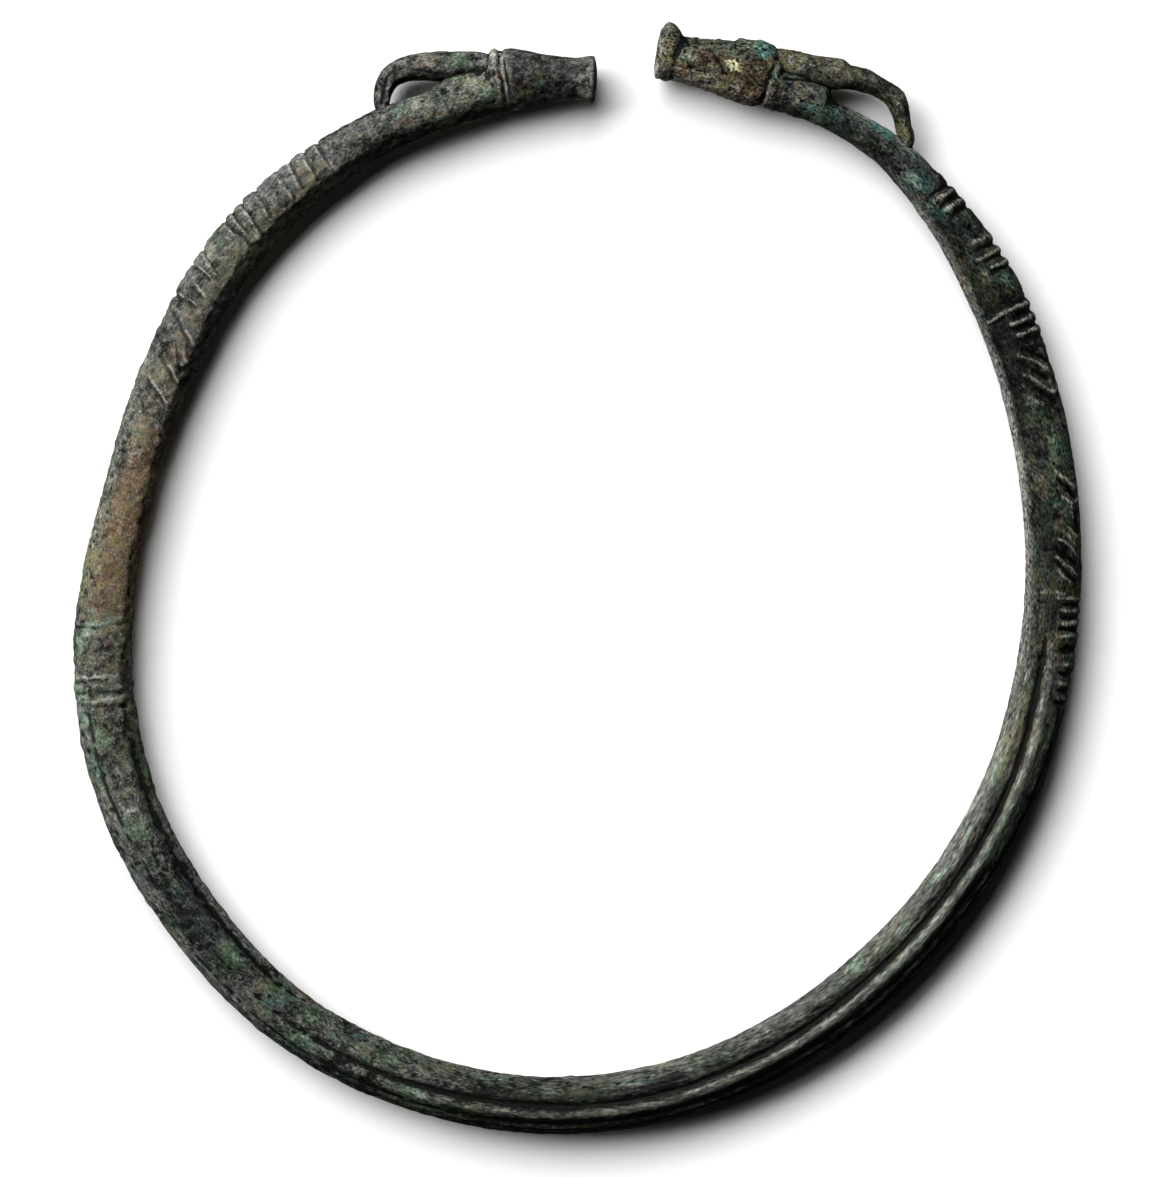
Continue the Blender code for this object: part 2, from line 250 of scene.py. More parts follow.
# Raised ribs and cuts on the right side.
RIGHT_STROKES = [
    ([(934, 203), (945, 196), (956, 189)], 1.9, 2.0, 2.6),
    ([(945, 211), (955, 204), (965, 199)], 2.0, 1.8, 2.8),
    ([(939, 209), (952, 200), (962, 194)], 1.6, -1.4, -2.2),
    ([(950, 217), (960, 210), (969, 206)], 2.0, -1.0, -2.6),
    ([(926, 200), (940, 190), (949, 184)], 2.0, -1.0, -2.0),
    ([(971, 244), (980, 241), (992, 234)], 2.1, 1.4, 1.4),
    ([(976, 262), (987, 256), (1001, 247)], 1.9, 1.2, 2.2),
    ([(990, 269), (998, 266), (1008, 261)], 1.8, 2.2, 2.4),
    ([(976, 253), (985, 247), (996, 241)], 2.2, -1.6, -2.8),
    ([(984, 263), (993, 257), (1005, 253)], 2.0, -1.4, -2.8),
    ([(991, 275), (1001, 269), (1012, 265)], 2.2, -1.6, -2.2),
    ([(969, 229), (973, 236), (978, 240)], 2.2, -1.6, -1.0),
    ([(988, 322), (1007, 312), (1027, 302)], 2.1, 2.2, 2.6),
    ([(1000, 311), (1014, 304), (1025, 297)], 2.6, -0.8, -1.6),
    ([(1009, 326), (1020, 322), (1032, 316)], 1.9, 1.8, 2.4),
    ([(1012, 319), (1022, 313), (1033, 308)], 2.2, -1.2, -2.4),
    ([(1018, 337), (1027, 332), (1039, 327)], 2.1, 2.0, 2.8),
    ([(1014, 332), (1024, 327), (1037, 322)], 1.8, -1.4, -2.6),
    ([(1027, 341), (1034, 338), (1043, 334)], 2.4, -1.4, -2.0),
    ([(1016, 356), (1031, 361), (1048, 371)], 1.7, 1.0, 2.0),
    ([(1022, 375), (1037, 384), (1053, 393)], 1.8, 1.4, 2.0),
    ([(1053, 392), (1058, 384)], 1.6, 1.8, 1.4),
    ([(1049, 383), (1054, 372)], 1.5, 0.9, 0.9),
    ([(1018, 363), (1030, 369), (1046, 378)], 2.6, -0.9, -1.5),
    ([(1024, 382), (1038, 392), (1054, 402)], 3.0, -1.0, -1.6),
    ([(1021, 350), (1034, 354), (1049, 362)], 2.6, -0.9, -1.4),
    ([(1024, 396), (1042, 405)], 2.4, 1.0, 0.8),
    ([(1051, 411), (1060, 422)], 1.5, 0.9, 0.9),
    ([(1048, 467), (1063, 478)], 1.8, 1.2, 1.2),
    ([(1064, 478), (1076, 477)], 1.4, 0.9, 0.9),
    ([(1067, 481), (1074, 488)], 2.1, 1.5, 1.5),
    ([(1056, 480), (1068, 489)], 2.0, -1.0, -1.4),
    ([(1060, 496), (1069, 504), (1072, 517)], 1.7, 1.2, 1.5),
    ([(1069, 505), (1077, 498)], 1.5, 1.3, 1.3),
    ([(1068, 491), (1074, 497)], 2.2, -1.8, -1.8),
    ([(1074, 514), (1077, 530)], 2.4, -1.8, -1.8),
    ([(1061, 522), (1076, 537)], 1.5, 1.0, 1.2),
    ([(1062, 531), (1076, 546)], 1.4, 0.8, 1.0),
    ([(1058, 539), (1068, 546), (1077, 558)], 1.5, 1.2, 1.1),
    ([(1056, 557), (1075, 574)], 1.7, 1.4, 1.4),
    ([(1057, 571), (1070, 584)], 1.6, 1.1, 1.1),
    ([(1056, 549), (1074, 564)], 2.2, -1.4, -1.8),
    ([(1057, 564), (1074, 581)], 2.2, -1.2, -1.8),
    ([(1035, 593), (1048, 592), (1062, 594)], 1.8, 0.9, 0.9),
    ([(1037, 602), (1049, 602)], 2.6, -1.2, -1.0),
    ([(1058, 599), (1079, 599)], 1.6, 1.0, 1.4),
    ([(1060, 611), (1079, 611)], 1.6, 1.0, 1.4),
    ([(1062, 624), (1079, 623)], 2.0, 1.4, 1.4),
    ([(1057, 637), (1078, 636)], 1.8, 1.3, 1.3),
    ([(1058, 665), (1076, 663)], 2.4, 1.2, 1.2),
    ([(1058, 683), (1073, 684)], 2.2, 1.4, 1.4),
    ([(1056, 697), (1070, 700)], 1.8, 1.0, 1.0),
    ([(1062, 605), (1080, 605)], 1.9, -1.4, -1.8),
    ([(1062, 618), (1080, 617)], 1.9, -1.6, -2.0),
    ([(1058, 629), (1079, 630)], 1.9, -1.8, -2.0),
    ([(1061, 650), (1078, 650)], 3.4, -1.8, -1.6),
    ([(1060, 674), (1075, 674)], 2.2, -1.8, -1.8),
    ([(1058, 690), (1073, 692)], 2.4, -1.8, -1.8),
    ([(1054, 702), (1066, 705)], 1.6, -1.8, -1.8),
    ([(1038, 657), (1046, 656), (1053, 664)], 1.4, -1.2, -0.8),
]
# Creases, collars and lips of the two heads.
HEAD_STROKES = [
    ([(498.4, 44), (498.6, 56), (500, 72), (502.6, 88), (505.5, 104)], 1.5, -1.3, -0.8),
    ([(501.6, 48), (502.2, 60), (503.8, 75), (506, 90), (508, 102)], 1.3, 0.7, 0.9),
    ([(505.2, 52), (505.8, 64), (507.4, 78), (510, 92)], 1.8, -0.4, -0.3),
    ([(493.4, 46), (494, 60), (495.8, 76), (498.6, 90), (501, 100)], 3.4, 0.5, 0.3),
    ([(489.5, 51), (489, 62), (486, 72)], 1.8, -0.6, -0.3),
    ([(576, 56), (577, 68), (576, 82), (573, 96)], 3.2, -0.3, -0.5),
    ([(588, 56), (590, 78), (589, 100)], 3.6, 0.4, 0.4),
    ([(446, 76), (462, 75), (478, 76), (487, 68)], 1.7, -1.9, -0.8),
    ([(685, 34), (681, 45), (674, 60), (671, 80)], 3.6, -1.8, -0.9),
    ([(781, 46), (776, 60), (772, 72), (767, 83), (761, 102)], 2.2, -0.7, -1.2),
    ([(779, 68), (777, 75), (773, 84), (767, 95), (764, 104)], 2.8, 0.4, 1.4),
    ([(784, 80.5), (800, 80), (815, 81.5), (827, 85)], 1.6, -2.4, -2.4),
    ([(801, 101), (790, 108)], 2.0, 1.4, 1.0),
    ([(823, 92), (832, 100), (850, 112)], 1.6, -0.8, -0.5),
    ([(716, 62), (724, 74)], 2.6, -0.9, -0.7),
    ([(690, 68), (704, 74)], 3.0, -0.8, -0.6),
]
HORN_STROKES = [
    ([(446, 75), (430, 74), (418, 72), (406, 69), (396, 69), (387, 78), (384, 91), (382.5, 104)], 1.9, -0.9, -1.9),
    ([(404, 76), (394, 80), (389, 89), (387.5, 102)], 1.6, 0.6, 1.2),
    ([(408, 80), (397, 84), (392.5, 93), (391, 103)], 1.4, -0.8, -1.0),
    ([(430, 50), (431, 60)], 2.0, -0.8, -0.4),
    ([(449, 48), (451, 58)], 2.4, -0.6, -0.3),
    ([(843, 56), (838, 72)], 3.0, 0.9, 0.5),
    ([(852, 64), (850, 78)], 3.0, -0.9, -0.5),
    ([(905, 92), (897, 104)], 3.0, 0.8, 0.4),
    ([(909, 112), (902, 118)], 3.0, -0.8, -0.4),
]
# Single knobs and hollows: x, y, radius, height.
KNOBS = [
    (258, 240, 5.0, 2.2), (269, 231, 5.5, 1.4), (333, 168, 4.5, 1.2), (332, 166, 3.0, 0.6), (265, 236, 3.2, -2.2),
    (255, 247, 3.4, -2.4), (318, 176, 3.6, 1.0), (298, 203, 4.5, 0.8), (201, 315, 4.0, 1.0), (207, 297, 3.0, 0.9),
    (184, 372, 3.0, -1.8), (171, 392, 3.6, 0.8), (104, 675, 4.0, 1.3), (123, 625, 3.6, -2.0), (122, 692, 3.6, -1.8),
    (124, 706, 3.6, -2.0), (113, 666, 4.5, 0.9), (82, 641, 4.0, 0.7), (110, 607, 5.5, 0.9), (93, 668, 4.0, -0.8),
    (949, 217, 2.6, 1.4), (968, 230, 3.6, -1.9), (974, 228, 2.6, 1.1), (1003, 279, 5.0, 1.0), (1017, 298, 3.4, 1.2),
    (1034, 346, 5.0, 1.2), (1013, 293, 3.2, -1.0), (983, 275, 4.5, 0.7), (960, 268, 5.0, 0.6), (1071, 494, 3.4, -1.8),
    (1055, 501, 3.6, 0.7), (1056, 518, 5.0, -0.8), (1048, 494, 4.0, -0.6), (1060, 534, 4.5, -0.9), (1065, 651, 5.0, -1.2),
    (741, 38, 5.5, 1.6), (670, 29, 9.0, 1.2), (732, 68, 8.0, 0.7), (711, 50, 9.0, 0.5), (765, 50, 6.0, -0.7),
    (667, 67, 7.0, -0.9), (519, 89, 5.0, -0.6), (580, 79, 3.0, 0.7), (690, 70, 4.0, -0.9), (718, 61, 4.0, -1.2),
    (160, 826, 6.0, -1.6), (180, 862, 6.0, -1.6), (199, 893, 5.5, -1.4), (106, 775, 4.5, -1.6), (393, 1073, 4.0, 1.0),
    (690, 1081, 2.4, 1.2), (573, 1085, 3.6, -0.8), (877, 947, 4.0, 1.0), (852, 965, 4.5, 0.9), (570, 1076, 5.0, 1.2),
]

# How rough the casting is, by angle: large lumps, small lumps, share of pits.
ROUGH = [
    (88.0, 0.45, 0.35, 0.18), (97.0, 0.5, 0.35, 0.2), (101.0, 0.8, 0.5, 0.3), (119.0, 0.8, 0.5, 0.3), (122.0, 0.9, 0.6, 0.35),
    (150.0, 0.95, 0.65, 0.4), (165.0, 1.1, 0.8, 0.3), (190.0, 1.0, 0.75, 0.3), (200.0, 0.9, 0.6, 0.4), (240.0, 0.8, 0.5, 0.4),
    (262.0, 0.4, 0.3, 0.25), (330.0, 0.35, 0.28, 0.2), (350.0, 0.5, 0.4, 0.3), (380.0, 0.45, 0.32, 0.25), (405.0, 0.5, 0.35, 0.25),
    (426.0, 0.7, 0.55, 0.35), (430.0, 1.2, 1.15, 0.25), (442.0, 1.1, 1.0, 0.25),
]


# ---------------------------------------------------------------- helpers
def knots(table, column):
    """The points of a table's column and the slopes there, set so that the curve never swings past a neighbour."""
    xs = np.array([row[0] for row in table], float)
    ys = np.array([row[column] for row in table], float)
    h = np.diff(xs)
    rise = np.diff(ys) / h
    slope = np.empty_like(ys)
    slope[0], slope[-1] = rise[0], rise[-1]
    for k in range(1, len(xs) - 1):
        before, after = rise[k - 1], rise[k]
        mean = (before * h[k] + after * h[k - 1]) / (h[k - 1] + h[k])
        if h[k - 1] < 6 and h[k] < 6 and before * after <= 0:
            slope[k] = 0.0
        else:
            limit = 3 * min(abs(before), abs(after)) if before * after > 0 else abs(mean)
            slope[k] = max(-limit, min(limit, mean))
    return xs, ys, h, slope


def curve(table, column, x):
    """Values at x on a smooth curve through a table's column."""
    xs, ys, h, slope = knots(table, column)
    x = np.clip(np.asarray(x, float), xs[0], xs[-1])
    i = np.clip(np.searchsorted(xs, x, side="right") - 1, 0, len(xs) - 2)
    t = (x - xs[i]) / h[i]
    return (
        ys[i] * (1 + 2 * t) * (1 - t) ** 2
        + slope[i] * h[i] * t * (1 - t) ** 2
        + ys[i + 1] * t * t * (3 - 2 * t)
        - slope[i + 1] * h[i] * t * t * (1 - t)
    )


def line(table, column, x):
    """Values at x on straight lines through a table's column."""
    return np.interp(x, [row[0] for row in table], [row[column] for row in table])


def ramp(x, low, high):
    t = np.clip((x - low) / (high - low), 0.0, 1.0)
    return t * t * (3 - 2 * t)


def polar(angle, reach):
    """A point at an angle and a distance from where the slices meet, in the photograph's frame."""
    turn = math.radians(angle)
    return (VIEW_CENTRE[0] + reach * math.cos(turn), VIEW_CENTRE[1] - reach * math.sin(turn))


def hashed(cell, seed):
    """A repeatable number from 0 to 1 for each whole-numbered cell (n, 3)."""
    c = cell.astype(np.int64).astype(np.uint64)
    h = c[:, 0] * np.uint64(374761393) + c[:, 1] * np.uint64(668265263) + c[:, 2] * np.uint64(1440670441)
    h = h + np.uint64(seed * 1442695)
    h = (h ^ (h >> np.uint64(13))) * np.uint64(1274126177)
    h = (h ^ (h >> np.uint64(16))) * np.uint64(2246822519)
    h = h ^ (h >> np.uint64(15))
    return (h & np.uint64(0xFFFFFF)).astype(float) / float(0xFFFFFF)


TURN = np.array([[0.36, 0.48, -0.80], [-0.80, 0.60, 0.00], [0.48, 0.64, 0.60]])


def noise(p, size, seed):
    """Smooth noise from -1 to 1 at points p, with lumps about `size` units across."""
    q = p @ TURN / size
    cell = np.floor(q)
    f = q - cell
    f = f * f * f * (f * (f * 6 - 15) + 10)
    total = np.zeros(len(p))
    for corner in range(8):
        step = np.array([corner & 1, corner >> 1 & 1, corner >> 2 & 1])
        weight = np.prod(np.where(step, f, 1 - f), axis=1)
        total += weight * hashed(cell + step, seed)
    return 2 * total - 1


def cloud(p, size, seed, octaves=3, fall=0.55):
    """Several sizes of noise added together."""
    total, amount, full = np.zeros(len(p)), 1.0, 0.0
    for k in range(octaves):
        total += amount * noise(p + 17.3 * k, size, seed + k)
        full += amount
        amount *= fall
        size /= 1.97
    return total / full * 1.5


def hollows(p, size, share, seed):
    """Scattered small pits: 1 at a pit's bottom, 0 outside. share is the part of the cells that hold one."""
    q = p / size
    cell = np.floor(q)
    deepest = np.zeros(len(p))
    for k in range(27):
        c = cell + np.array([k % 3 - 1, k // 3 % 3 - 1, k // 9 - 1])
        held = hashed(c, seed) < share
        middle = c + 0.15 + 0.7 * np.stack([hashed(c, seed + s) for s in (1, 2, 3)], axis=1)
        radius = 0.16 + 0.30 * hashed(c, seed + 4) ** 2
        near = 1 - np.linalg.norm(q - middle, axis=1) / radius
        deepest = np.maximum(deepest, np.where(held, near, 0.0))
    return ramp(deepest, 0.0, 0.8)


def edge_line(angle):
    """Degrees round the slice of the inner edge, which is ragged along the crusted left side."""
    at = np.ravel(np.asarray(angle, float))
    run = np.stack([at / 1.0, np.zeros(at.size), np.zeros(at.size)], axis=1)
    ragged = 3.0 + 4.0 * ramp(at, 108, 120) * (1 - ramp(at, 192, 205))
    shift = ragged * (0.6 * noise(run, 2.6, 301) + 0.4 * noise(run, 1.1, 302))
    return curve(INNER_EDGE, 1, at).reshape(np.shape(angle)) + shift.reshape(np.shape(angle))


def view_of(points):
    """Where points (n, 3), in units from where the slices meet, appear in the photograph's frame."""
    return np.stack([VIEW_CENTRE[0] + points[:, 0], VIEW_CENTRE[1] - points[:, 1]], axis=1)


def from_path(seen, path):
    """Distance to a path of straight runs, and how far along it the nearest point is, from 0 to 1."""
    best, where = np.full(len(seen), 1e9), np.zeros(len(seen))
    lengths = [math.dist(a, b) for a, b in zip(path, path[1:])]
    done, full = 0.0, sum(lengths)
    for a, b, length in zip(path, path[1:], lengths):
        a, b = np.array(a, float), np.array(b, float)
        t = np.clip((seen - a) @ (b - a) / length**2, 0, 1)
        d = np.linalg.norm(seen - a - t[:, None] * (b - a), axis=1)
        closer = d < best
        best = np.where(closer, d, best)
        where = np.where(closer, (done + t * length) / full, where)
        done += length
    return best, where


def drawn(seen, table):
    """Height that strokes add, and how much each point lies on a raised or a cut one."""
    height, raised, cut = np.zeros(len(seen)), np.zeros(len(seen)), np.zeros(len(seen))
    for path, width, first, last in table:
        width *= 1.2
        low = np.min(path, axis=0) - 3.2 * width
        high = np.max(path, axis=0) + 3.2 * width
        near = np.nonzero(np.all((seen > low) & (seen < high), axis=1))[0]
        if not len(near):
            continue
        d, along = from_path(seen[near], path)
        tall = first + (last - first) * along
        height[near] += tall * np.exp(-((d / width) ** 2))
        mark = np.exp(-((d / (0.8 * width)) ** 2)) * np.clip(np.abs(tall) / 1.9, 0, 1)
        if first > 0:
            raised[near] = np.maximum(raised[near], mark)
        else:
            cut[near] = np.maximum(cut[near], mark)
    return height, raised, cut


def knobs(seen):
    height = np.zeros(len(seen))
    for x, y, radius, tall in KNOBS:
        d = np.hypot(seen[:, 0] - x, seen[:, 1] - y) / radius
        height += tall * np.exp(-1.6 * d**2)
    return height


def groove_strokes():
    """The straight grooves across the left side, as strokes from just outside the outer edge inwards."""
    made = []
    for angle, slant, length, depth in LEFT_GROOVES:
        edge = float(curve(OUTLINE, 1, angle))
        made.append(([polar(angle, edge + 4), polar(angle + slant, edge - length)], 1.35, -0.67 * depth, -0.52 * depth))
        lip = 0.36 if angle < 138 else -0.36
        made.append(([polar(angle + lip, edge - 3), polar(angle + slant + lip, edge - length + 3)], 1.1, 0.6, 0.8))
    return made


def scallops(angle):
    """Swelling of the outer edge between two notches."""
    swell = np.zeros_like(angle)
    for run, most in zip(SCALLOPS, SWELL):
        for a, b in zip(run, run[1:]):
            t = np.clip((angle - a) / (b - a), 0, 1)
            swell = np.maximum(swell, most * np.sqrt(np.clip(4 * t * (1 - t), 0, 1)))
    return swell


# ---------------------------------------------------------------- the body's slices
def body_rings():
    """Angles of the slices and how much each is shrunk, from one muzzle's tip to the other's."""
    angles = []
    for low, high, step in STRETCHES:
        count = round((high - low) / step)
        angles += [low + (high - low) * k / count for k in range(count)]
    angles.append(STRETCHES[-1][1])
    dome = [0.97, 0.92, 0.84, 0.72, 0.56, 0.38, 0.18]
    left = [(LEFT_TIP + (LEFT_RIM - LEFT_TIP) * (1 - math.sqrt(1 - s * s)), s) for s in reversed(dome)]
    right = [(RIGHT_TIP - (RIGHT_TIP - RIGHT_RIM) * (1 - math.sqrt(1 - s * s)), s) for s in dome]
    rows = left + [(a, 1.0) for a in angles] + right
    return np.array([r[0] for r in rows]), np.array([r[1] for r in rows])


def turns(angle):
    """Degrees round the slice of each column: 0 outermost, 90 on top, 180 innermost, 270 underneath."""
    flute = curve(FLUTE_LINE, 1, angle)[:, None]
    edge = edge_line(angle)[:, None]
    a, b, c = TOP_STEPS
    top = np.concatenate(
        [
            flute * (np.arange(a) / a),
            flute + (edge - flute) * (np.arange(b) / b),
            edge + (180 - edge) * (np.arange(c) / c),
        ],
        axis=1,
    )
    under = np.broadcast_to(180 + 180 * np.arange(UNDER_STEPS) / UNDER_STEPS, (len(angle), UNDER_STEPS))
    return np.concatenate([top, under], axis=1)


def slices(angle, around, shrink):
    """Points of the uncarved slices, in units from where the slices meet, (slices, columns, 3)."""
    a = angle[:, None]
    outer, inner = curve(OUTLINE, 1, a), curve(OUTLINE, 2, a)
    middle, half = (outer + inner) / 2, (outer - inner) / 2
    top = curve(THICKNESS, 1, a)
    worn = ramp(a, 196, 204) * (1 - ramp(a, 334, 344))
    below = top + (FLAT_HALF - top) * worn
    edge = edge_line(a)
    turn = np.radians(around)
    under = around > 180
    side = np.where(under, 360 - around, around)
    tall = np.where(under, -below, top)
    share = np.clip((side - edge) / (180 - edge), 0, 1)
    along, height = half * np.cos(turn), np.abs(np.sin(turn)) * tall
    flat_along = half * np.cos(np.radians(edge)) * (1 - share) - half * share
    flat_height = tall * np.sin(np.radians(edge)) * (1 - share)
    blend = (0.2 + 0.4 * ramp(a, 108, 117) + 0.27 * ramp(a, 112, 120) * (1 - ramp(a, 190, 205))) * (share > 0)
    blend = blend * (1 - 0.55 * ramp(a, 424, 430))
    along = (1 - blend) * along + blend * flat_along
    height = (1 - blend) * height + blend * flat_height
    reach = middle + along * shrink[:, None]
    z = MID_Z + height * shrink[:, None]
    spin = np.radians(a)
    return np.stack([reach * np.cos(spin), reach * np.sin(spin), z], axis=2)


def grid_normals(p):
    """Outward directions of a tube's grid of points, closed the short way round."""
    across = np.roll(p, -1, axis=1) - np.roll(p, 1, axis=1)
    lengthwise = np.gradient(p, axis=0)
    n = np.cross(lengthwise, across)
    n /= np.maximum(np.linalg.norm(n, axis=2, keepdims=True), 1e-9)
    outward = p - p.mean(axis=1, keepdims=True)
    if np.sum(n * outward) < 0:
        n = -n
    return n


def flutes(angle, around):
    """Relief of the flutes that run along the lower half of the hoop, and the marks they leave: a pale ridge, partly
    wear and partly a painted highlight, and dark grooves, partly dirt and partly painted shade.
    """
    a = angle[:, None]
    flute = curve(FLUTE_LINE, 1, a)
    there = ramp(a, 193.2, 194.6) * (1 - ramp(a, 347, 359))
    clear = ramp(a, 236, 266)  # the lower left is worn, the lower right crisp
    unit = 28.0 * math.pi / 180.0

    def groove(share, width, depth, inner_width=None):
        """A round groove, or one that is steep on its outer side and runs out gently on its inner side."""
        off = (around - flute * share) * unit
        gentle = np.exp(-((np.abs(off) / (inner_width or width)) ** (1.15 if inner_width else 2)))
        return -depth * np.where(off > 0, gentle, np.exp(-((off / width) ** 2)))

    def ridge(share, width, tall):
        return tall * np.exp(-((np.abs(around - flute * share) * unit / width) ** 4))

    up = (around < 180).astype(float)
    faint = 1 - 0.6 * ramp(a, 205, 209) * (1 - ramp(a, 230, 237))  # all but worn away on the lower left
    wide = groove(0.98, 3.0, 1.0, 8.0) * clear + groove(1.0, 3.4, 1.0) * (1 - clear) * faint
    main = wide * there * (2.2 + 3.2 * clear)
    band = ridge(0.785, 4.2, 1.0) * there * (0.3 + 1.0 * clear)
    second = groove(0.56, 4.2, 1.0) * there * (0.4 + 1.6 * clear) * (1 - 0.8 * ramp(a, 322, 332))
    thin = ridge(0.455, 1.2, 0.7) * there * clear * (1 - ramp(a, 338, 350))
    third = groove(0.365, 1.7, 1.2) * there * clear * (1 - ramp(a, 335, 346))
    outer_thin = ridge(0.27, 1.2, 0.7) * there * ramp(a, 276, 290) * (1 - ramp(a, 325, 338))
    left_lines = (groove(0.56, 1.7, 0.9) + groove(0.32, 1.7, 1.0)) * ramp(a, 218, 226) * (1 - ramp(a, 246, 256))
    left_inner = -2.2 * np.exp(-(((around - 144) * unit / 6.5) ** 2)) * ramp(a, 194, 203) * (1 - ramp(a, 226, 240))
    inner_line = -0.7 * np.exp(-(((around - 112) * unit / 1.8) ** 2)) * ramp(a, 262, 275) * (1 - ramp(a, 330, 345))
    height = (main + band + second + thin + third + outer_thin + left_lines + left_inner + inner_line) * up
    narrow = 3.3 + 1.0 * ramp(a, 285, 300) - 1.6 * ramp(a, 344, 358)
    # pale: the ridge lines, partly wear and partly a painted highlight
    pale = np.clip(ridge(0.785, narrow, 1.0) * there * (0.25 + 0.75 * clear) * (1 - 0.5 * ramp(a, 344, 356)) * (0.64 + 0.17 * ramp(a, 278, 296)) + thin * 0.35 * (1 - ramp(a, 320, 330)) + outer_thin * 0.6, 0, 1) * up * clear
    pale = np.maximum(pale, 0.36 * ridge(0.605, 4.6, 1.0) * there * ramp(a, 321, 330) * up)
    # dark: the grooves and the foot of the ridge, partly dirt and partly painted shade
    groove_stain_and_shade = groove(0.975, 2.6, 1.35, 5.2) * there * clear + main * 0.12 * (1 - clear)
    dark = np.clip(-(groove_stain_and_shade + second * 0.25 + third * 0.3 + 0.5 * ridge(0.36, 4.0, -1.0) * there * ramp(a, 318, 330) + left_inner * 0.27 + left_lines * 0.3), 0, 1) * up
    return height, pale, dark


def make_body():
    """Points (n, 3), faces and surface marks of the hoop with its heads."""
    angle, shrink = body_rings()
    around = turns(angle)
    base = slices(angle, around, shrink)
    normal = grid_normals(base)
    flat = base.reshape(-1, 3)
    seen = view_of(flat)
    a = np.broadcast_to(angle[:, None], around.shape).ravel()
    t = around.ravel()
    below = np.where(t > 180, np.minimum(360 - t, t - 180 + 40), 0.0)
    carved = np.where(t > 180, 1 - ramp(below, 12, 46), 1.0)
    full = np.repeat(shrink, around.shape[1])

    sway = np.stack([noise(flat, 9.0, 201), noise(flat, 9.0, 202)], axis=1) * 1.1
    tall, raised, cut = drawn(seen + sway, groove_strokes() + LEFT_STROKES + RIGHT_STROKES + HEAD_STROKES)
    tall *= 1 + 0.45 * noise(flat, 11.0, 203)
    beyond = ramp(np.where(t > 180, 360 - t, t), 12, 58)
    tall = np.where(tall > 0, tall * (0.3 + 0.7 * beyond), tall)
    flute_tall, pale, dark = (x.ravel() for x in flutes(angle, around))
    outer_side = 1 - ramp(np.where(t > 180, 360 - t, t), 60, 105)
    swell = scallops(angle)[:, None].repeat(around.shape[1], axis=1).ravel() * outer_side
    height = (tall + knobs(seen)) * carved + flute_tall + swell * np.where(t > 180, carved, 1.0)

    large, small, pitted = line(ROUGH, 1, a), line(ROUGH, 2, a), line(ROUGH, 3, a)
    quiet = np.where(t > 180, 0.6, 1.0)  # the underside is plainer
    height += large * cloud(flat, 15.0, 11) * quiet
    height += small * cloud(flat, 5.2, 29, 2) * quiet
    pit = hollows(flat, 9.0, pitted, 5)
    fine = hollows(flat, 5.2, pitted * 0.8, 61)
    height -= (1.5 * pit + 0.8 * fine) * quiet * (0.5 + small)
    height *= np.clip(full * 1.2, 0, 1)

    points = flat + normal.reshape(-1, 3) * height[:, None]
    points[:, 2] = np.maximum(points[:, 2], 0.0)
    rows, columns = around.shape
    index = np.arange(rows * columns).reshape(rows, columns)
    right = np.roll(index, -1, axis=1)
    quads = np.stack([index[:-1], right[:-1], right[1:], index[1:]], axis=2).reshape(-1, 4)
    tips = []
    for row, tip in ((0, LEFT_TIP), (rows - 1, RIGHT_TIP)):
        reach = (curve(OUTLINE, 1, tip) + curve(OUTLINE, 2, tip)) / 2
        tips.append((reach * math.cos(math.radians(tip)), reach * math.sin(math.radians(tip)), MID_Z))
    points = np.concatenate([points, np.array(tips)])
    first, last = rows * columns, rows * columns + 1
    fans = [(right[0, k], index[0, k], first) for k in range(columns)]
    fans += [(index[-1, k], right[-1, k], last) for k in range(columns)]

    def ended(values):
        return np.concatenate([values, [0.0, 0.0]])

    marks = {
        "raised": ended(np.clip(raised * carved, 0, 1)),
        "band": ended(pale),
        "cut": ended(np.clip(cut * carved + dark, 0, 1)),
        "pit": ended(np.clip(pit + 0.6 * fine, 0, 1)),
        "angle": np.concatenate([a, [LEFT_TIP, RIGHT_TIP]]),
        "turn": np.concatenate([t, [90.0, 90.0]]),
        "horn": np.zeros(len(points)),
    }
    return points, [tuple(int(v) for v in q) for q in quads] + [tuple(int(v) for v in f) for f in fans], marks


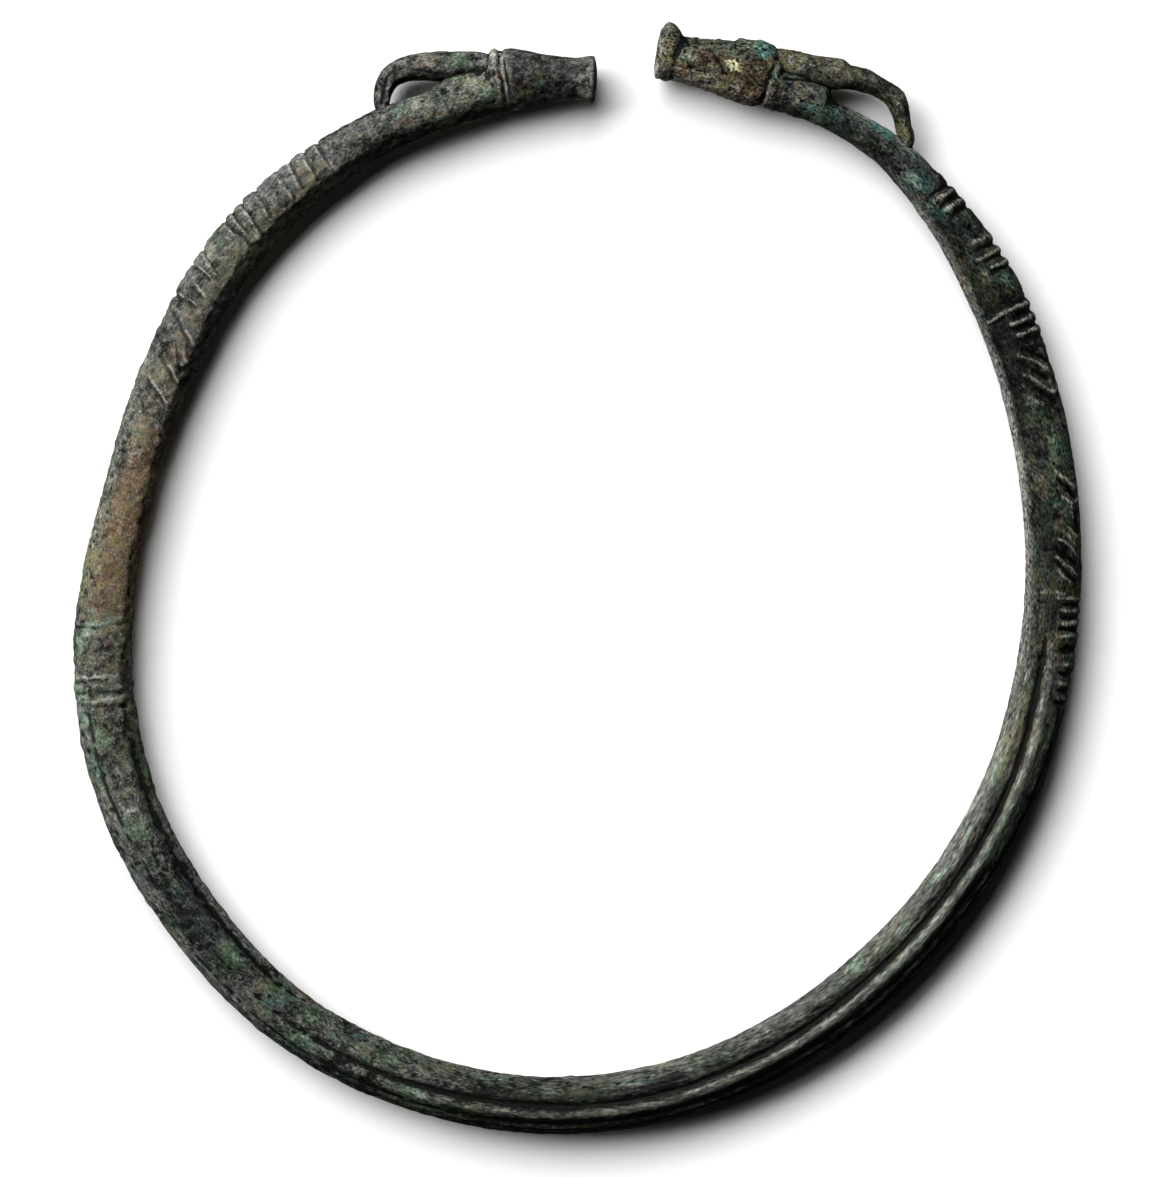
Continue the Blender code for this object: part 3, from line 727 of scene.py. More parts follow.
def make_horn(stations, seed, angle, rings=HORN_RINGS):
    """A horn: a closed tube through its stations, with the same marks as the body."""
    table = [(k, *outer, *inner, thick) for k, (outer, inner, thick) in enumerate(stations)]
    s = np.linspace(0, len(stations) - 1, rings)
    values = np.stack([curve(table, c, s) for c in range(1, 6)], axis=1)
    for _ in range(6):  # takes out the small corners at the stations
        values[1:-1] = 0.25 * values[:-2] + 0.5 * values[1:-1] + 0.25 * values[2:]
    outer, inner, thick = values[:, 0:2], values[:, 2:4], values[:, 4]
    turn = 2 * np.pi * np.arange(HORN_SIDES) / HORN_SIDES
    middle, reach = (outer + inner) / 2, (outer - inner) / 2
    plan = middle[:, None, :] + reach[:, None, :] * np.cos(turn)[None, :, None]
    z = MID_Z + thick[:, None] * np.sin(turn)[None, :]
    base = np.concatenate([plan, z[:, :, None]], axis=2)
    normal = grid_normals(base)
    flat = base.reshape(-1, 3)
    seen = view_of(flat)
    up = np.broadcast_to(turn[None, :] < math.pi + 0.3, base.shape[:2]).ravel().astype(float)
    tall, raised, cut = drawn(seen, HORN_STROKES)
    rough = 0.55 if seed == 3 else 1.0
    height = tall * up + knobs(seen) * 0.6 * up
    height += 0.8 * rough * cloud(flat, 13.0, seed + 70) + 0.45 * rough * cloud(flat, 5.0, seed + 90, 2)
    pit = hollows(flat, 7.0, 0.3 * rough, seed + 7)
    height -= 1.0 * pit * rough
    points = flat + normal.reshape(-1, 3) * height[:, None]
    rows, columns = base.shape[:2]
    index = np.arange(rows * columns).reshape(rows, columns)
    right = np.roll(index, -1, axis=1)
    quads = np.stack([index[:-1], right[:-1], right[1:], index[1:]], axis=2).reshape(-1, 4)
    faces = [tuple(int(v) for v in q) for q in quads]
    faces += [tuple(int(v) for v in index[0, ::-1]), tuple(int(v) for v in index[-1])]
    marks = {
        "raised": raised * up,
        "band": np.zeros(len(points)),
        "cut": cut * up,
        "pit": pit,
        "angle": np.full(len(points), angle),
        "turn": np.degrees(np.broadcast_to(turn[None, :], base.shape[:2]).ravel()),
        "horn": np.ones(len(points)),
    }
    return points, faces, marks


def to_world(points):
    p = np.array(points, float)
    p[:, 0] += CENTRE[0]
    p[:, 1] += CENTRE[1]
    return p * U


def new_object(name, points, faces):
    mesh = bpy.data.meshes.new(name)
    mesh.from_pydata(points.tolist(), [], faces)
    mesh.update()
    obj = bpy.data.objects.new(name, mesh)
    bpy.context.scene.collection.objects.link(obj)
    return obj


def facing_out(obj):
    """Turns a closed mesh's faces outwards if its volume comes out negative."""
    mesh = obj.data
    mesh.calc_loop_triangles()
    co = np.zeros(len(mesh.vertices) * 3)
    mesh.vertices.foreach_get("co", co)
    co = co.reshape(-1, 3)
    tri = np.zeros(len(mesh.loop_triangles) * 3, int)
    mesh.loop_triangles.foreach_get("vertices", tri)
    a, b, c = (co[tri.reshape(-1, 3)[:, k]] for k in range(3))
    if np.sum(np.cross(a, b) * c) < 0:
        mesh.flip_normals()
    return obj


# ---------------------------------------------------------------- one mesh
def coordinates(mesh):
    co = np.zeros(len(mesh.vertices) * 3)
    mesh.vertices.foreach_get("co", co)
    return co.reshape(-1, 3)


def edges_of(mesh):
    pairs = np.zeros(len(mesh.edges) * 2, int)
    mesh.edges.foreach_get("vertices", pairs)
    return pairs.reshape(-1, 2)


def averaged(values, edges, counts):
    """Each point's value replaced by the mean of its neighbours' values."""
    total = np.zeros_like(values)
    for k in range(values.shape[1]):
        total[:, k] = np.bincount(edges[:, 0], values[edges[:, 1], k], len(values)) + np.bincount(
            edges[:, 1], values[edges[:, 0], k], len(values)
        )
    return total / counts[:, None]


def tidied(mesh):
    """Takes out the join's spare points, where only two edges meet and two faces would lie back to back."""
    bm = bmesh.new()
    bm.from_mesh(mesh)
    for _ in range(4):
        spare = [v for v in bm.verts if len(v.link_edges) == 2]
        if not spare:
            break
        bmesh.ops.dissolve_verts(bm, verts=spare)
    bm.to_mesh(mesh)
    bm.free()
    return mesh


def build_bracelet():
    """The hoop and both horns joined into one closed mesh, with the surface marks of each point."""
    parts = [
        make_body(),
        make_horn(LEFT_HORN, 3, 112.0),
        make_horn(LEFT_WEB, 3, 104.0, 36),
        make_horn(RIGHT_HORN, 4, 434.0),
    ]
    objects = [
        facing_out(new_object(name, to_world(points), faces))
        for name, (points, faces, _) in zip(("bronze_bracelet", "horn_a", "web", "horn_b"), parts)
    ]
    body = objects[0]
    for horn in objects[1:]:
        join = body.modifiers.new(horn.name, "BOOLEAN")
        join.operation = "UNION"
        join.solver = "EXACT"
        join.object = horn
    graph = bpy.context.evaluated_depsgraph_get()
    joined = tidied(bpy.data.meshes.new_from_object(body.evaluated_get(graph)))
    body.modifiers.clear()
    body.data = joined
    for horn in objects[1:]:
        bpy.data.objects.remove(horn, do_unlink=True)

    co = coordinates(joined)
    source = np.concatenate([to_world(points) for points, _, _ in parts])
    marks = {key: np.concatenate([m[key] for _, _, m in parts]) for key in parts[0][2]}
    tree = kdtree.KDTree(len(source))
    for k, p in enumerate(source):
        tree.insert(p, k)
    tree.balance()
    nearest, gap = np.zeros(len(co), int), np.zeros(len(co))
    for k, p in enumerate(co):
        _, nearest[k], gap[k] = tree.find(p)
    marks = {key: values[nearest] for key, values in marks.items()}

    # the casting's fillet where the horns leave the body: points near the join are eased together
    edges = edges_of(joined)
    counts = np.maximum(np.bincount(edges.ravel(), minlength=len(co)), 1)
    near = (gap > 0.02 * U).astype(float)[:, None]
    for _ in range(3):
        near = np.maximum(near, averaged(near, edges, counts))
    weight = np.clip(near * 1.6, 0, 1) * 0.55
    for _ in range(4):
        co = co + weight * (averaged(co, edges, counts) - co)
    joined.vertices.foreach_set("co", co.ravel())
    joined.update()
    joined.shade_smooth()
    return body, co, edges, counts, marks


# ---------------------------------------------------------------- colours
COLOURS = ("green", "teal", "mint", "tan", "rust", "red", "olive", "blue")
# Even tint of the metal by angle: brightness, then how much of each colour shows.
ZONES = [
    # angle  tone  green teal  mint  tan   rust  red   olive blue
    (88.0, 0.44, 0.08, 0.05, 0.00, 0.02, 0.00, 0.03, 0.06, 0.15),
    (97.8, 0.46, 0.10, 0.05, 0.00, 0.04, 0.02, 0.06, 0.10, 0.15),
    (99.5, 0.60, 0.32, 0.10, 0.14, 0.16, 0.04, 0.08, 0.20, 0.10),
    (106.0, 0.62, 0.36, 0.12, 0.24, 0.26, 0.08, 0.10, 0.26, 0.12),
    (111.0, 0.60, 0.14, 0.06, 0.05, 0.12, 0.05, 0.03, 0.10, 0.16),
    (117.0, 0.60, 0.06, 0.04, 0.00, 0.06, 0.02, 0.02, 0.05, 0.18),
    (121.0, 0.60, 0.14, 0.08, 0.03, 0.20, 0.08, 0.03, 0.12, 0.26),
    (130.0, 0.60, 0.20, 0.08, 0.05, 0.25, 0.12, 0.06, 0.12, 0.22),
    (136.0, 0.62, 0.32, 0.12, 0.12, 0.30, 0.12, 0.06, 0.15, 0.14),
    (146.0, 0.58, 0.16, 0.10, 0.04, 0.22, 0.10, 0.06, 0.10, 0.34),
    (156.0, 0.60, 0.20, 0.14, 0.08, 0.38, 0.22, 0.05, 0.14, 0.16),
    (170.0, 0.62, 0.18, 0.10, 0.08, 0.72, 0.40, 0.05, 0.28, 0.06),
    (181.0, 0.60, 0.24, 0.12, 0.08, 0.72, 0.40, 0.06, 0.34, 0.06),
    (185.0, 0.60, 0.36, 0.22, 0.22, 0.44, 0.26, 0.06, 0.22, 0.08),
    (192.0, 0.54, 0.32, 0.20, 0.18, 0.28, 0.14, 0.04, 0.20, 0.14),
    (204.0, 0.52, 0.30, 0.16, 0.12, 0.14, 0.05, 0.04, 0.16, 0.20),
    (220.0, 0.46, 0.26, 0.18, 0.08, 0.08, 0.02, 0.03, 0.10, 0.30),
    (240.0, 0.42, 0.30, 0.22, 0.12, 0.14, 0.06, 0.04, 0.18, 0.22),
    (262.0, 0.46, 0.22, 0.14, 0.05, 0.14, 0.06, 0.05, 0.18, 0.14),
    (300.0, 0.48, 0.20, 0.12, 0.06, 0.08, 0.04, 0.03, 0.14, 0.14),
    (335.0, 0.50, 0.28, 0.14, 0.10, 0.12, 0.06, 0.04, 0.16, 0.12),
    (350.0, 0.46, 0.34, 0.12, 0.10, 0.12, 0.06, 0.05, 0.28, 0.14),
    (366.0, 0.42, 0.34, 0.14, 0.08, 0.13, 0.12, 0.08, 0.28, 0.18),
    (380.0, 0.38, 0.34, 0.20, 0.10, 0.12, 0.10, 0.05, 0.26, 0.16),
    (388.0, 0.38, 0.20, 0.20, 0.06, 0.12, 0.08, 0.04, 0.24, 0.22),
    (400.0, 0.34, 0.22, 0.22, 0.06, 0.16, 0.10, 0.03, 0.28, 0.20),
    (413.0, 0.36, 0.28, 0.26, 0.10, 0.08, 0.08, 0.03, 0.14, 0.26),
    (424.0, 0.42, 0.32, 0.30, 0.12, 0.08, 0.08, 0.04, 0.16, 0.26),
    (430.0, 0.44, 0.22, 0.14, 0.06, 0.38, 0.30, 0.05, 0.38, 0.10),
    (442.0, 0.46, 0.20, 0.12, 0.08, 0.38, 0.28, 0.05, 0.32, 0.08),
]
# How light the bare metal is on the outer side, on top and along the inner side, by angle. From about 250 to 335
# degrees the outer side is painted near black: painted shade, as it faces away from the light.
TONES = [
    (88, 0.32, 0.22, 0.58), (97, 0.28, 0.19, 0.56), (99, 0.68, 0.54, 0.50), (106, 0.62, 0.52, 0.44), (112, 0.49, 0.49, 0.44), (118, 0.36, 0.39, 0.68),
    (122, 0.58, 0.46, 0.58), (130, 0.57, 0.49, 0.60), (140, 0.56, 0.50, 0.58), (150, 0.62, 0.39, 0.57), (158, 0.61, 0.46, 0.70), (170, 0.64, 0.44, 0.76), (180, 0.50, 0.38, 0.56),
    (190, 0.56, 0.30, 0.46), (194, 0.70, 0.34, 0.46), (200, 0.56, 0.28, 0.48), (208, 0.56, 0.42, 0.44), (214, 0.56, 0.26, 0.46), (219, 0.60, 0.08, 0.50), (224, 0.56, 0.12, 0.50), (228, 0.50, 0.28, 0.44),
    (238, 0.19, 0.32, 0.46), (250, 0.12, 0.26, 0.26), (260, 0.06, 0.08, 0.34), (275, 0.03, 0.12, 0.55), (292, 0.02, 0.18, 0.62),
    (303, 0.03, 0.18, 0.56), (310, 0.03, 0.19, 0.62), (325, 0.06, 0.21, 0.76), (335, 0.10, 0.22, 0.86), (346, 0.30, 0.25, 0.68), (356, 0.30, 0.17, 0.82), (362, 0.20, 0.07, 0.86),
    (372, 0.33, 0.15, 0.99), (378, 0.40, 0.20, 0.99), (384, 0.28, 0.05, 0.88), (390, 0.28, 0.02, 0.74), (396, 0.28, 0.01, 0.70), (402, 0.26, 0.08, 0.80), (408, 0.04, 0.14, 0.90),
    (414, 0.76, 0.18, 0.42), (421, 0.68, 0.18, 0.36), (426, 0.00, 0.40, 0.33), (432, 0.56, 0.17, 0.62), (438, 0.28, 0.36, 0.96), (442, 0.32, 0.35, 0.86),
]
# Where the lighter inner face begins and how softly, as shares of the width from the outer edge.
INNER_FACE = [(88, 0.62, 0.26), (196, 0.62, 0.26), (206, 0.74, 0.22), (236, 0.74, 0.22), (250, 0.70, 0.22), (275, 0.68, 0.25), (340, 0.70, 0.26),
              (352, 0.72, 0.24), (360, 0.80, 0.18), (376, 0.80, 0.17), (384, 0.80, 0.16), (404, 0.76, 0.18), (413, 0.72, 0.2), (424, 0.62, 0.26), (442, 0.62, 0.26)]
HORN_TONE = 0.36
# How strong the finest grain is, by angle.
CRISP = [(88, 1.1), (97, 1.1), (99, 1.15), (113, 1.0), (119, 0.45), (150, 0.45), (162, 0.8), (183, 0.8), (186, 0.55), (196, 0.9), (240, 1.4), (262, 1.4),
         (280, 1.4), (340, 1.4), (362, 2.0), (412, 2.2), (424, 1.5), (430, 2.1), (442, 2.1)]
# How much shorter a step along the hoop counts for the grain, by angle: below 1 it is drawn out along the hoop.
FLOW = [(80, 0.8), (104, 0.8), (120, 0.75), (150, 0.8), (162, 1.0), (200, 0.95), (245, 0.7), (272, 0.34), (340, 0.30), (356, 0.5), (390, 0.6), (410, 0.6), (426, 0.85), (446, 0.9)]
# Patches on the hoop: angle, distance out, length along, width across, colour, strength.
PATCHES = [
    (128, 495, 12, 9, "green", 0.6), (135.5, 500, 16, 9, "green", 0.8), (135, 492, 10, 8, "mint", 0.45), (124.5, 483, 10, 7, "olive", 0.7),
    (132.0, 478, 5, 5, "pale", 0.9), (130.6, 479, 6, 5, "red", 0.5), (127.5, 497, 7, 7, "blue", 0.6), (121.5, 497, 8, 14, "blue", 0.4),
    (120.0, 488, 5, 5, "pale", 0.9), (123.2, 505, 6, 9, "rust", 0.35), (126.3, 484, 8, 7, "tan", 0.7), (136.8, 487, 6, 6, "pale", 0.4),
    (134.0, 478, 8, 6, "tan", 0.6), (139.0, 488, 10, 10, "tan", 0.55), (142.0, 478, 9, 7, "tan", 0.6), (146.0, 490, 10, 8, "blue", 0.5),
    (148.5, 486, 12, 8, "blue", 0.45), (148.8, 459, 5, 4, "rust", 1.0), (149.3, 470, 10, 6, "pale", 0.3), (152.5, 485, 10, 8, "tan", 0.6),
    (154.5, 466, 9, 6, "rust", 0.6), (157.0, 484, 12, 8, "rust", 0.5), (158.5, 463, 9, 7, "teal", 0.55), (160.5, 484, 14, 9, "green", 0.4),
    (164.0, 476, 18, 8, "tan", 0.6), (169.0, 470, 18, 10, "rust", 0.55), (173.0, 480, 20, 12, "tan", 0.7), (176.0, 470, 16, 9, "rust", 0.5),
    (179.0, 486, 16, 10, "tan", 0.6), (181.0, 473, 10, 8, "rust", 0.6), (182.6, 492, 7, 9, "olive", 0.5), (184.0, 484, 3.0, 12, "teal", 1.0),
    (184.8, 492, 4.5, 9, "mint", 0.9), (185.2, 503, 5, 4, "red", 0.5), (186.0, 461, 5, 5, "green", 0.7), (185.3, 470, 5, 8, "tan", 0.7),
    (188.0, 493, 9, 11, "teal", 0.5), (187.2, 495, 6, 8, "mint", 0.4), (186.8, 462, 5, 7, "rust", 0.4), (189.5, 476, 7, 7, "tan", 0.6),
    (189.0, 499, 5, 6, "pale", 0.3), (190.0, 486, 2.6, 14, "mint", 0.8), (190.2, 478, 3.0, 5, "pale", 1.0), (190.8, 458, 7, 3.0, "rust", 1.0),
    (191.5, 485, 4, 12, "green", 0.4), (193.0, 480, 2.0, 12, "pale", 0.7), (192.2, 455, 4, 4, "red", 0.5), (194.6, 510, 7, 7, "mint", 0.9),
    (195.2, 482, 8, 9, "teal", 0.4), (196.0, 514, 10, 5, "teal", 0.6), (198.5, 480, 12, 8, "olive", 0.7), (200.5, 516, 14, 5, "teal", 0.6),
    (202.0, 508, 10, 5, "pale", 0.5), (199.0, 497, 12, 8, "green", 0.4), (203.5, 487, 12, 7, "green", 0.7), (205.5, 500, 16, 9, "mint", 0.35),
    (207.0, 516, 14, 8, "green", 0.55), (206.8, 505, 5, 5, "pale", 0.6), (209.5, 498, 14, 8, "green", 0.6), (211.0, 520, 16, 6, "teal", 0.55),
    (212.5, 500, 14, 8, "teal", 0.55), (211.8, 494, 10, 6, "mint", 0.35), (214.5, 490, 12, 6, "olive", 0.4), (216.5, 487, 18, 9, "blue", 0.8),
    (219.5, 525, 16, 7, "green", 0.8), (222.0, 505, 16, 8, "blue", 0.4), (226.0, 500, 24, 10, "green", 0.9), (226.5, 498, 12, 6, "mint", 0.5),
    (229.5, 530, 16, 8, "green", 0.8), (232.0, 500, 18, 9, "olive", 0.8), (231.0, 485, 14, 5, "rust", 0.5), (234.5, 512, 14, 8, "blue", 0.5),
    (238.5, 502, 18, 8, "mint", 0.6), (237.5, 500, 22, 10, "green", 0.8), (240.5, 535, 20, 6, "rust", 0.5), (241.0, 498, 18, 9, "teal", 0.6),
    (243.5, 506, 20, 10, "green", 0.6), (246.5, 518, 12, 8, "blue", 0.7), (243.0, 527, 16, 8, "olive", 0.7), (236.0, 489, 20, 5, "rust", 0.7),
    (248.5, 510, 18, 9, "green", 0.6), (249.5, 505, 14, 6, "mint", 0.4), (252.0, 524, 14, 6, "mint", 0.8), (252.5, 525, 20, 9, "green", 0.8),
    (254.0, 538, 22, 6, "teal", 0.6), (258.0, 505, 20, 9, "tan", 0.45), (264.0, 495, 26, 8, "olive", 0.4), (264.0, 533, 20, 6, "olive", 0.7),
    (269.5, 494, 7, 6, "teal", 0.7), (270.0, 484, 10, 5, "olive", 0.6), (271.0, 511, 14, 5, "teal", 0.7), (276.0, 506, 9, 3.5, "red", 1.0),
    (278.8, 506, 5, 4, "rust", 0.9), (275.0, 488, 12, 6, "olive", 0.5), (279.0, 490, 16, 7, "olive", 0.6), (280.5, 509, 14, 4, "teal", 0.5),
    (283.0, 530, 14, 7, "olive", 0.6), (287.5, 492, 20, 6, "olive", 0.4), (306.5, 462, 14, 5, "mint", 0.9), (308.5, 466, 10, 5, "pale", 0.7), (297.0, 470, 16, 4, "pale", 0.4), (283.0, 481, 10, 3, "pale", 0.6), (315.0, 463, 14, 4, "mint", 0.6),
    (311.5, 479, 10, 5, "olive", 0.8), (313.5, 503, 6, 5, "red", 0.6), (314.5, 491, 8, 5, "teal", 0.5), (310.5, 458, 24, 7, "blue", 0.4),
    (318.5, 480, 24, 6, "green", 0.35), (321.0, 457, 22, 5, "mint", 0.95), (328.0, 456, 20, 5, "mint", 0.95), (324.5, 452, 26, 4, "pale", 0.5), (326.0, 462, 30, 9, "green", 0.6), (336.5, 450, 26, 4, "mint", 0.7), (343.5, 451, 18, 4, "mint", 0.6),
    (334.5, 463, 6, 5, "rust", 1.0), (336.5, 461, 9, 7, "olive", 0.7), (338.5, 468, 9, 5, "red", 0.8), (340.5, 470, 8, 5, "rust", 0.6),
    (340.0, 456, 26, 9, "mint", 0.4), (344.0, 480, 20, 7, "green", 0.5), (333.0, 487, 22, 6, "green", 0.45), (347.0, 463, 20, 8, "green", 0.4),
    (349.0, 487, 12, 6, "tan", 0.7), (351.0, 486, 10, 5, "rust", 0.6), (347.2, 484, 4, 5, "red", 0.9), (353.0, 488, 10, 9, "green", 0.9),
    (352.5, 482, 8, 6, "mint", 0.5), (356.8, 484, 6, 6, "rust", 0.7), (357.3, 490, 5, 6, "tan", 0.8), (357.6, 473, 10, 6, "mint", 0.5),
    (359.8, 470, 5, 14, "mint", 0.6), (360.6, 462, 6, 6, "blue", 0.7), (359.4, 478, 3.5, 16, "pale", 0.5), (362.5, 480, 10, 10, "green", 0.8),
    (364.5, 486, 12, 10, "green", 0.5), (367.6, 470, 5, 12, "olive", 0.8), (368.7, 484, 6, 7, "red", 0.65), (367.4, 487, 6, 5, "rust", 0.6), (371.3, 477, 6, 6, "red", 0.8),
    (370.6, 484, 5, 6, "teal", 1.0), (370.3, 480, 5, 5, "mint", 0.6), (374.8, 490, 14, 8, "green", 0.6), (376.5, 497, 14, 11, "teal", 0.7),
    (377.0, 495, 26, 13, "green", 1.0), (378.5, 492, 18, 9, "mint", 0.7), (375.0, 500, 12, 7, "teal", 0.8), (372.5, 492, 10, 8, "green", 0.7), (376.8, 508, 7, 6, "blue", 0.8), (380.0, 482, 10, 7, "green", 0.4),
    (383.3, 483, 6, 14, "teal", 0.8), (383.0, 488, 5, 14, "mint", 0.55), (387.8, 516, 6, 6, "mint", 0.8), (388.3, 520, 8, 7, "teal", 0.8),
    (381.8, 505, 9, 7, "olive", 0.6), (385.5, 508, 10, 8, "olive", 0.3), (396.3, 528, 8, 7, "mint", 0.8), (396.8, 530, 13, 9, "teal", 0.9),
    (394.8, 527, 7, 7, "teal", 0.6), (398.0, 512, 8, 7, "olive", 1.0), (397.8, 508, 6, 6, "rust", 0.8), (400.5, 516, 9, 8, "olive", 0.6),
    (402.2, 541, 13, 6, "teal", 0.7), (402.0, 536, 8, 6, "blue", 0.6), (406.3, 524, 9, 10, "teal", 0.8), (407.4, 516, 8, 7, "mint", 0.5),
    (406.5, 520, 14, 8, "green", 0.7), (410.5, 530, 24, 11, "teal", 0.9), (411.0, 529, 20, 9, "mint", 1.1), (409.0, 523, 5, 5, "rust", 1.0),
    (417.0, 550, 20, 6, "teal", 0.7), (420.0, 548, 16, 5, "mint", 0.4), (425.0, 533, 12, 9, "teal", 0.7), (424.6, 537, 8, 6, "green", 0.8),
    (413.0, 523, 22, 6, "rust", 0.4), (418.5, 530, 24, 7, "olive", 0.4), (421.5, 536, 18, 8, "blue", 0.5), (414.5, 548, 14, 6, "blue", 0.4),
]
# Patches on the heads and horns, in the photograph's frame: x, y, half length, half width, slope in degrees, colour, strength.
HEAD_PATCHES = [
    # The thin dark patch at x 498, y 84 is painted shade on the collar ring's right side, which faces away from the
    # light.
    (519, 88, 8, 6, -20, "red", 0.8), (511, 94, 6, 4, -30, "red", 0.6), (555, 83, 7, 5, 0, "red", 0.6), (497, 80, 10, 3.4, 80, "red", 1.2), (498, 90, 6, 3.6, 70, "rust", 1.0), (498, 84, 9, 2.6, 78, "dark", 0.7),
    (449, 95, 10, 4, 0, "red", 0.55), (536, 83, 10, 6, -60, "olive", 1.0), (528, 93, 14, 5, -20, "olive", 1.0), (538, 86, 10, 6, -30, "green", 0.9),
    (462, 61, 12, 8, 20, "green", 1.1), (460, 63, 10, 6, 20, "teal", 0.6), (457, 66, 7, 5, 0, "mint", 0.8), (470, 69, 9, 6, 40, "green", 0.8), (452, 67, 4, 4, 0, "olive", 0.8),
    (431, 61, 10, 7, 0, "tan", 0.5), (425, 68, 10, 4, 0, "rust", 0.5), (415, 77, 22, 4, 3, "rust", 0.55), (398, 76, 9, 5, -50, "rust", 0.5),
    (488, 92, 9, 9, 0, "mint", 0.6), (470, 103, 20, 6, -10, "green", 0.5), (440, 105, 24, 7, -15, "mint", 0.4), (400, 112, 12, 8, 0, "mint", 0.6),
    (405, 124, 14, 4, -14, "rust", 0.5), (440, 117, 24, 6, -14, "olive", 0.7), (478, 109, 16, 6, -12, "olive", 0.8), (428, 126, 24, 5, -16, "dark", 0.9), (466, 118, 20, 5, -12, "dark", 0.9), (396, 138, 16, 5, -26, "dark", 0.9), (408, 128, 14, 5, -20, "olive", 0.9), (388, 139, 16, 5, -28, "olive", 0.9), (470, 110, 16, 4, -10, "rust", 0.6), (497, 108, 10, 4, -10, "rust", 0.9),
    (510, 104, 9, 4, -20, "olive", 0.9), (515, 110, 10, 3, -10, "red", 0.5), (478, 80, 6, 4, 0, "pale", 0.6), (485, 68, 8, 5, 90, "pale", 0.5),
    # The dark patches under the left muzzle (x 532 to 568) and along its right end (x 591) are painted shade, on sides
    # that face away from the light.
    (410, 55, 24, 5, -8, "tan", 0.3), (460, 86, 14, 6, 0, "olive", 0.4), (574, 64, 12, 9, 20, "pale", 0.75), (580, 80, 6, 6, 0, "pale", 1.0), (552, 93, 20, 6, -6, "dark", 1.0), (568, 92, 12, 6, 0, "dark", 0.8), (591, 86, 3, 14, 0, "dark", 0.5), (532, 100, 12, 3, -12, "dark", 0.6),
    # The three narrow pale patches at x 502 to 507 are a painted highlight on the step behind the collar, which faces
    # the light.
    (585, 68, 6, 8, 90, "pale", 0.25), (588, 90, 7, 4, 20, "rust", 0.4), (502, 58, 1.8, 9, 0, "pale", 1.0), (503.8, 75, 1.8, 10, 8, "pale", 0.9), (506.5, 91, 1.8, 8, 10, "pale", 0.7),
    # The faint pale patch at x 378 is a painted highlight along the left horn's outer edge.
    (378, 90, 4, 12, 5, "pale", 0.25),
    (731, 66, 9, 6, 20, "cream", 1.2), (738, 70, 6, 4, 20, "cream", 0.9), (732, 68, 12, 8, 20, "olive", 1.0), (711, 49, 12, 8, 0, "red", 0.5), (711, 49, 14, 9, 0, "tan", 0.6),
    (764, 50, 9, 8, 60, "teal", 1.9), (760, 47, 6, 4, 30, "mint", 0.5), (772, 55, 5, 6, 90, "green", 0.8), (689, 62, 12, 6, 20, "mint", 0.8),
    (687, 63, 14, 8, 20, "green", 0.7), (697, 72, 10, 5, 20, "blue", 0.9), (716, 60, 7, 4, 30, "blue", 0.7), (667, 69, 6, 8, 0, "rust", 0.6), (667, 69, 5, 7, 0, "dark", 0.5),
    (671, 40, 9, 8, 60, "tan", 0.6), (661, 46, 3.5, 16, -8, "pale", 0.6), (668, 28, 9, 5, 0, "pale", 0.5), (657, 70, 3, 9, -6, "pale", 0.5), (676, 45, 8, 4, 60, "rust", 0.8), (692, 44, 9, 5, 20, "teal", 0.5), (745, 45, 12, 6, 0, "rust", 0.5),
    (755, 66, 12, 9, 0, "olive", 0.7), (715, 80, 16, 7, 20, "olive", 0.6), (738, 88, 12, 5, 20, "blue", 0.6), (752, 92, 8, 4, 20, "blue", 0.6),
    (770, 74, 8, 5, 70, "olive", 0.7), (775, 80, 4, 7, 20, "teal", 1.0), (768, 92, 4, 8, 25, "mint", 0.8), (788, 62, 10, 8, 20, "blue", 0.5),
    (800, 70, 16, 6, 10, "tan", 0.5), (822, 68, 14, 7, 10, "olive", 0.5), (812, 88, 14, 5, 10, "green", 0.8), (798, 90, 8, 6, 0, "teal", 0.6),
    (784, 92, 7, 6, 0, "red", 0.4), (795, 103, 9, 4, -32, "olive", 1.0), (793, 105, 6, 2.6, -32, "cream", 0.6), (811, 111, 10, 6, 10, "green", 1.0),
    (812, 108, 8, 5, 10, "teal", 0.8), (835, 108, 12, 7, 30, "blue", 0.6), (883, 131, 18, 7, 40, "teal", 1.7), (882, 130, 12, 4, 40, "mint", 0.6),
    (872, 122, 10, 4, 30, "mint", 0.5), (850, 112, 12, 4, 28, "mint", 0.35), (843, 66, 6, 7, 40, "olive", 0.8), (855, 78, 12, 6, 15, "rust", 0.7),
    (872, 84, 12, 6, 25, "tan", 0.5), (885, 92, 8, 5, 40, "red", 0.5), (900, 100, 5, 5, 0, "blue", 0.5), (899, 120, 5, 12, -15, "mint", 0.55),
    (907, 118, 3.5, 18, -10, "dark", 0.5), (898, 132, 5, 8, 0, "green", 0.5), (912, 140, 4, 8, 0, "tan", 0.6), (830, 55, 16, 4, 8, "green", 0.35),
    (860, 130, 20, 8, 32, "rust", 0.35), (880, 150, 20, 7, 38, "rust", 0.4),
]


def patches(seen, angle_seen, reach_seen):
    """How much of each colour the patches put at each point."""
    found = {name: np.zeros(len(seen)) for name in COLOURS + ("pale", "dark", "cream")}

    def add(name, d, strength):
        found[name] = np.maximum(found[name], 0.67 * strength * (1 - ramp(d, 0.0, 2.1)))

    for angle, reach, length, width, name, strength in PATCHES:
        near = np.nonzero(np.abs(angle_seen - angle) < 9)[0]
        d = np.full(len(seen), 9.0)
        d[near] = np.hypot(np.radians(angle_seen[near] - angle) * reach / length, (reach_seen[near] - reach) / width)
        add(name, d, strength)
    for x, y, length, width, slope, name, strength in HEAD_PATCHES:
        c, s = math.cos(math.radians(slope)), math.sin(math.radians(slope))
        dx, dy = seen[:, 0] - x, seen[:, 1] - y
        d = np.hypot((dx * c + dy * s) / length, (dy * c - dx * s) / width)
        add(name, d, strength)
    return found


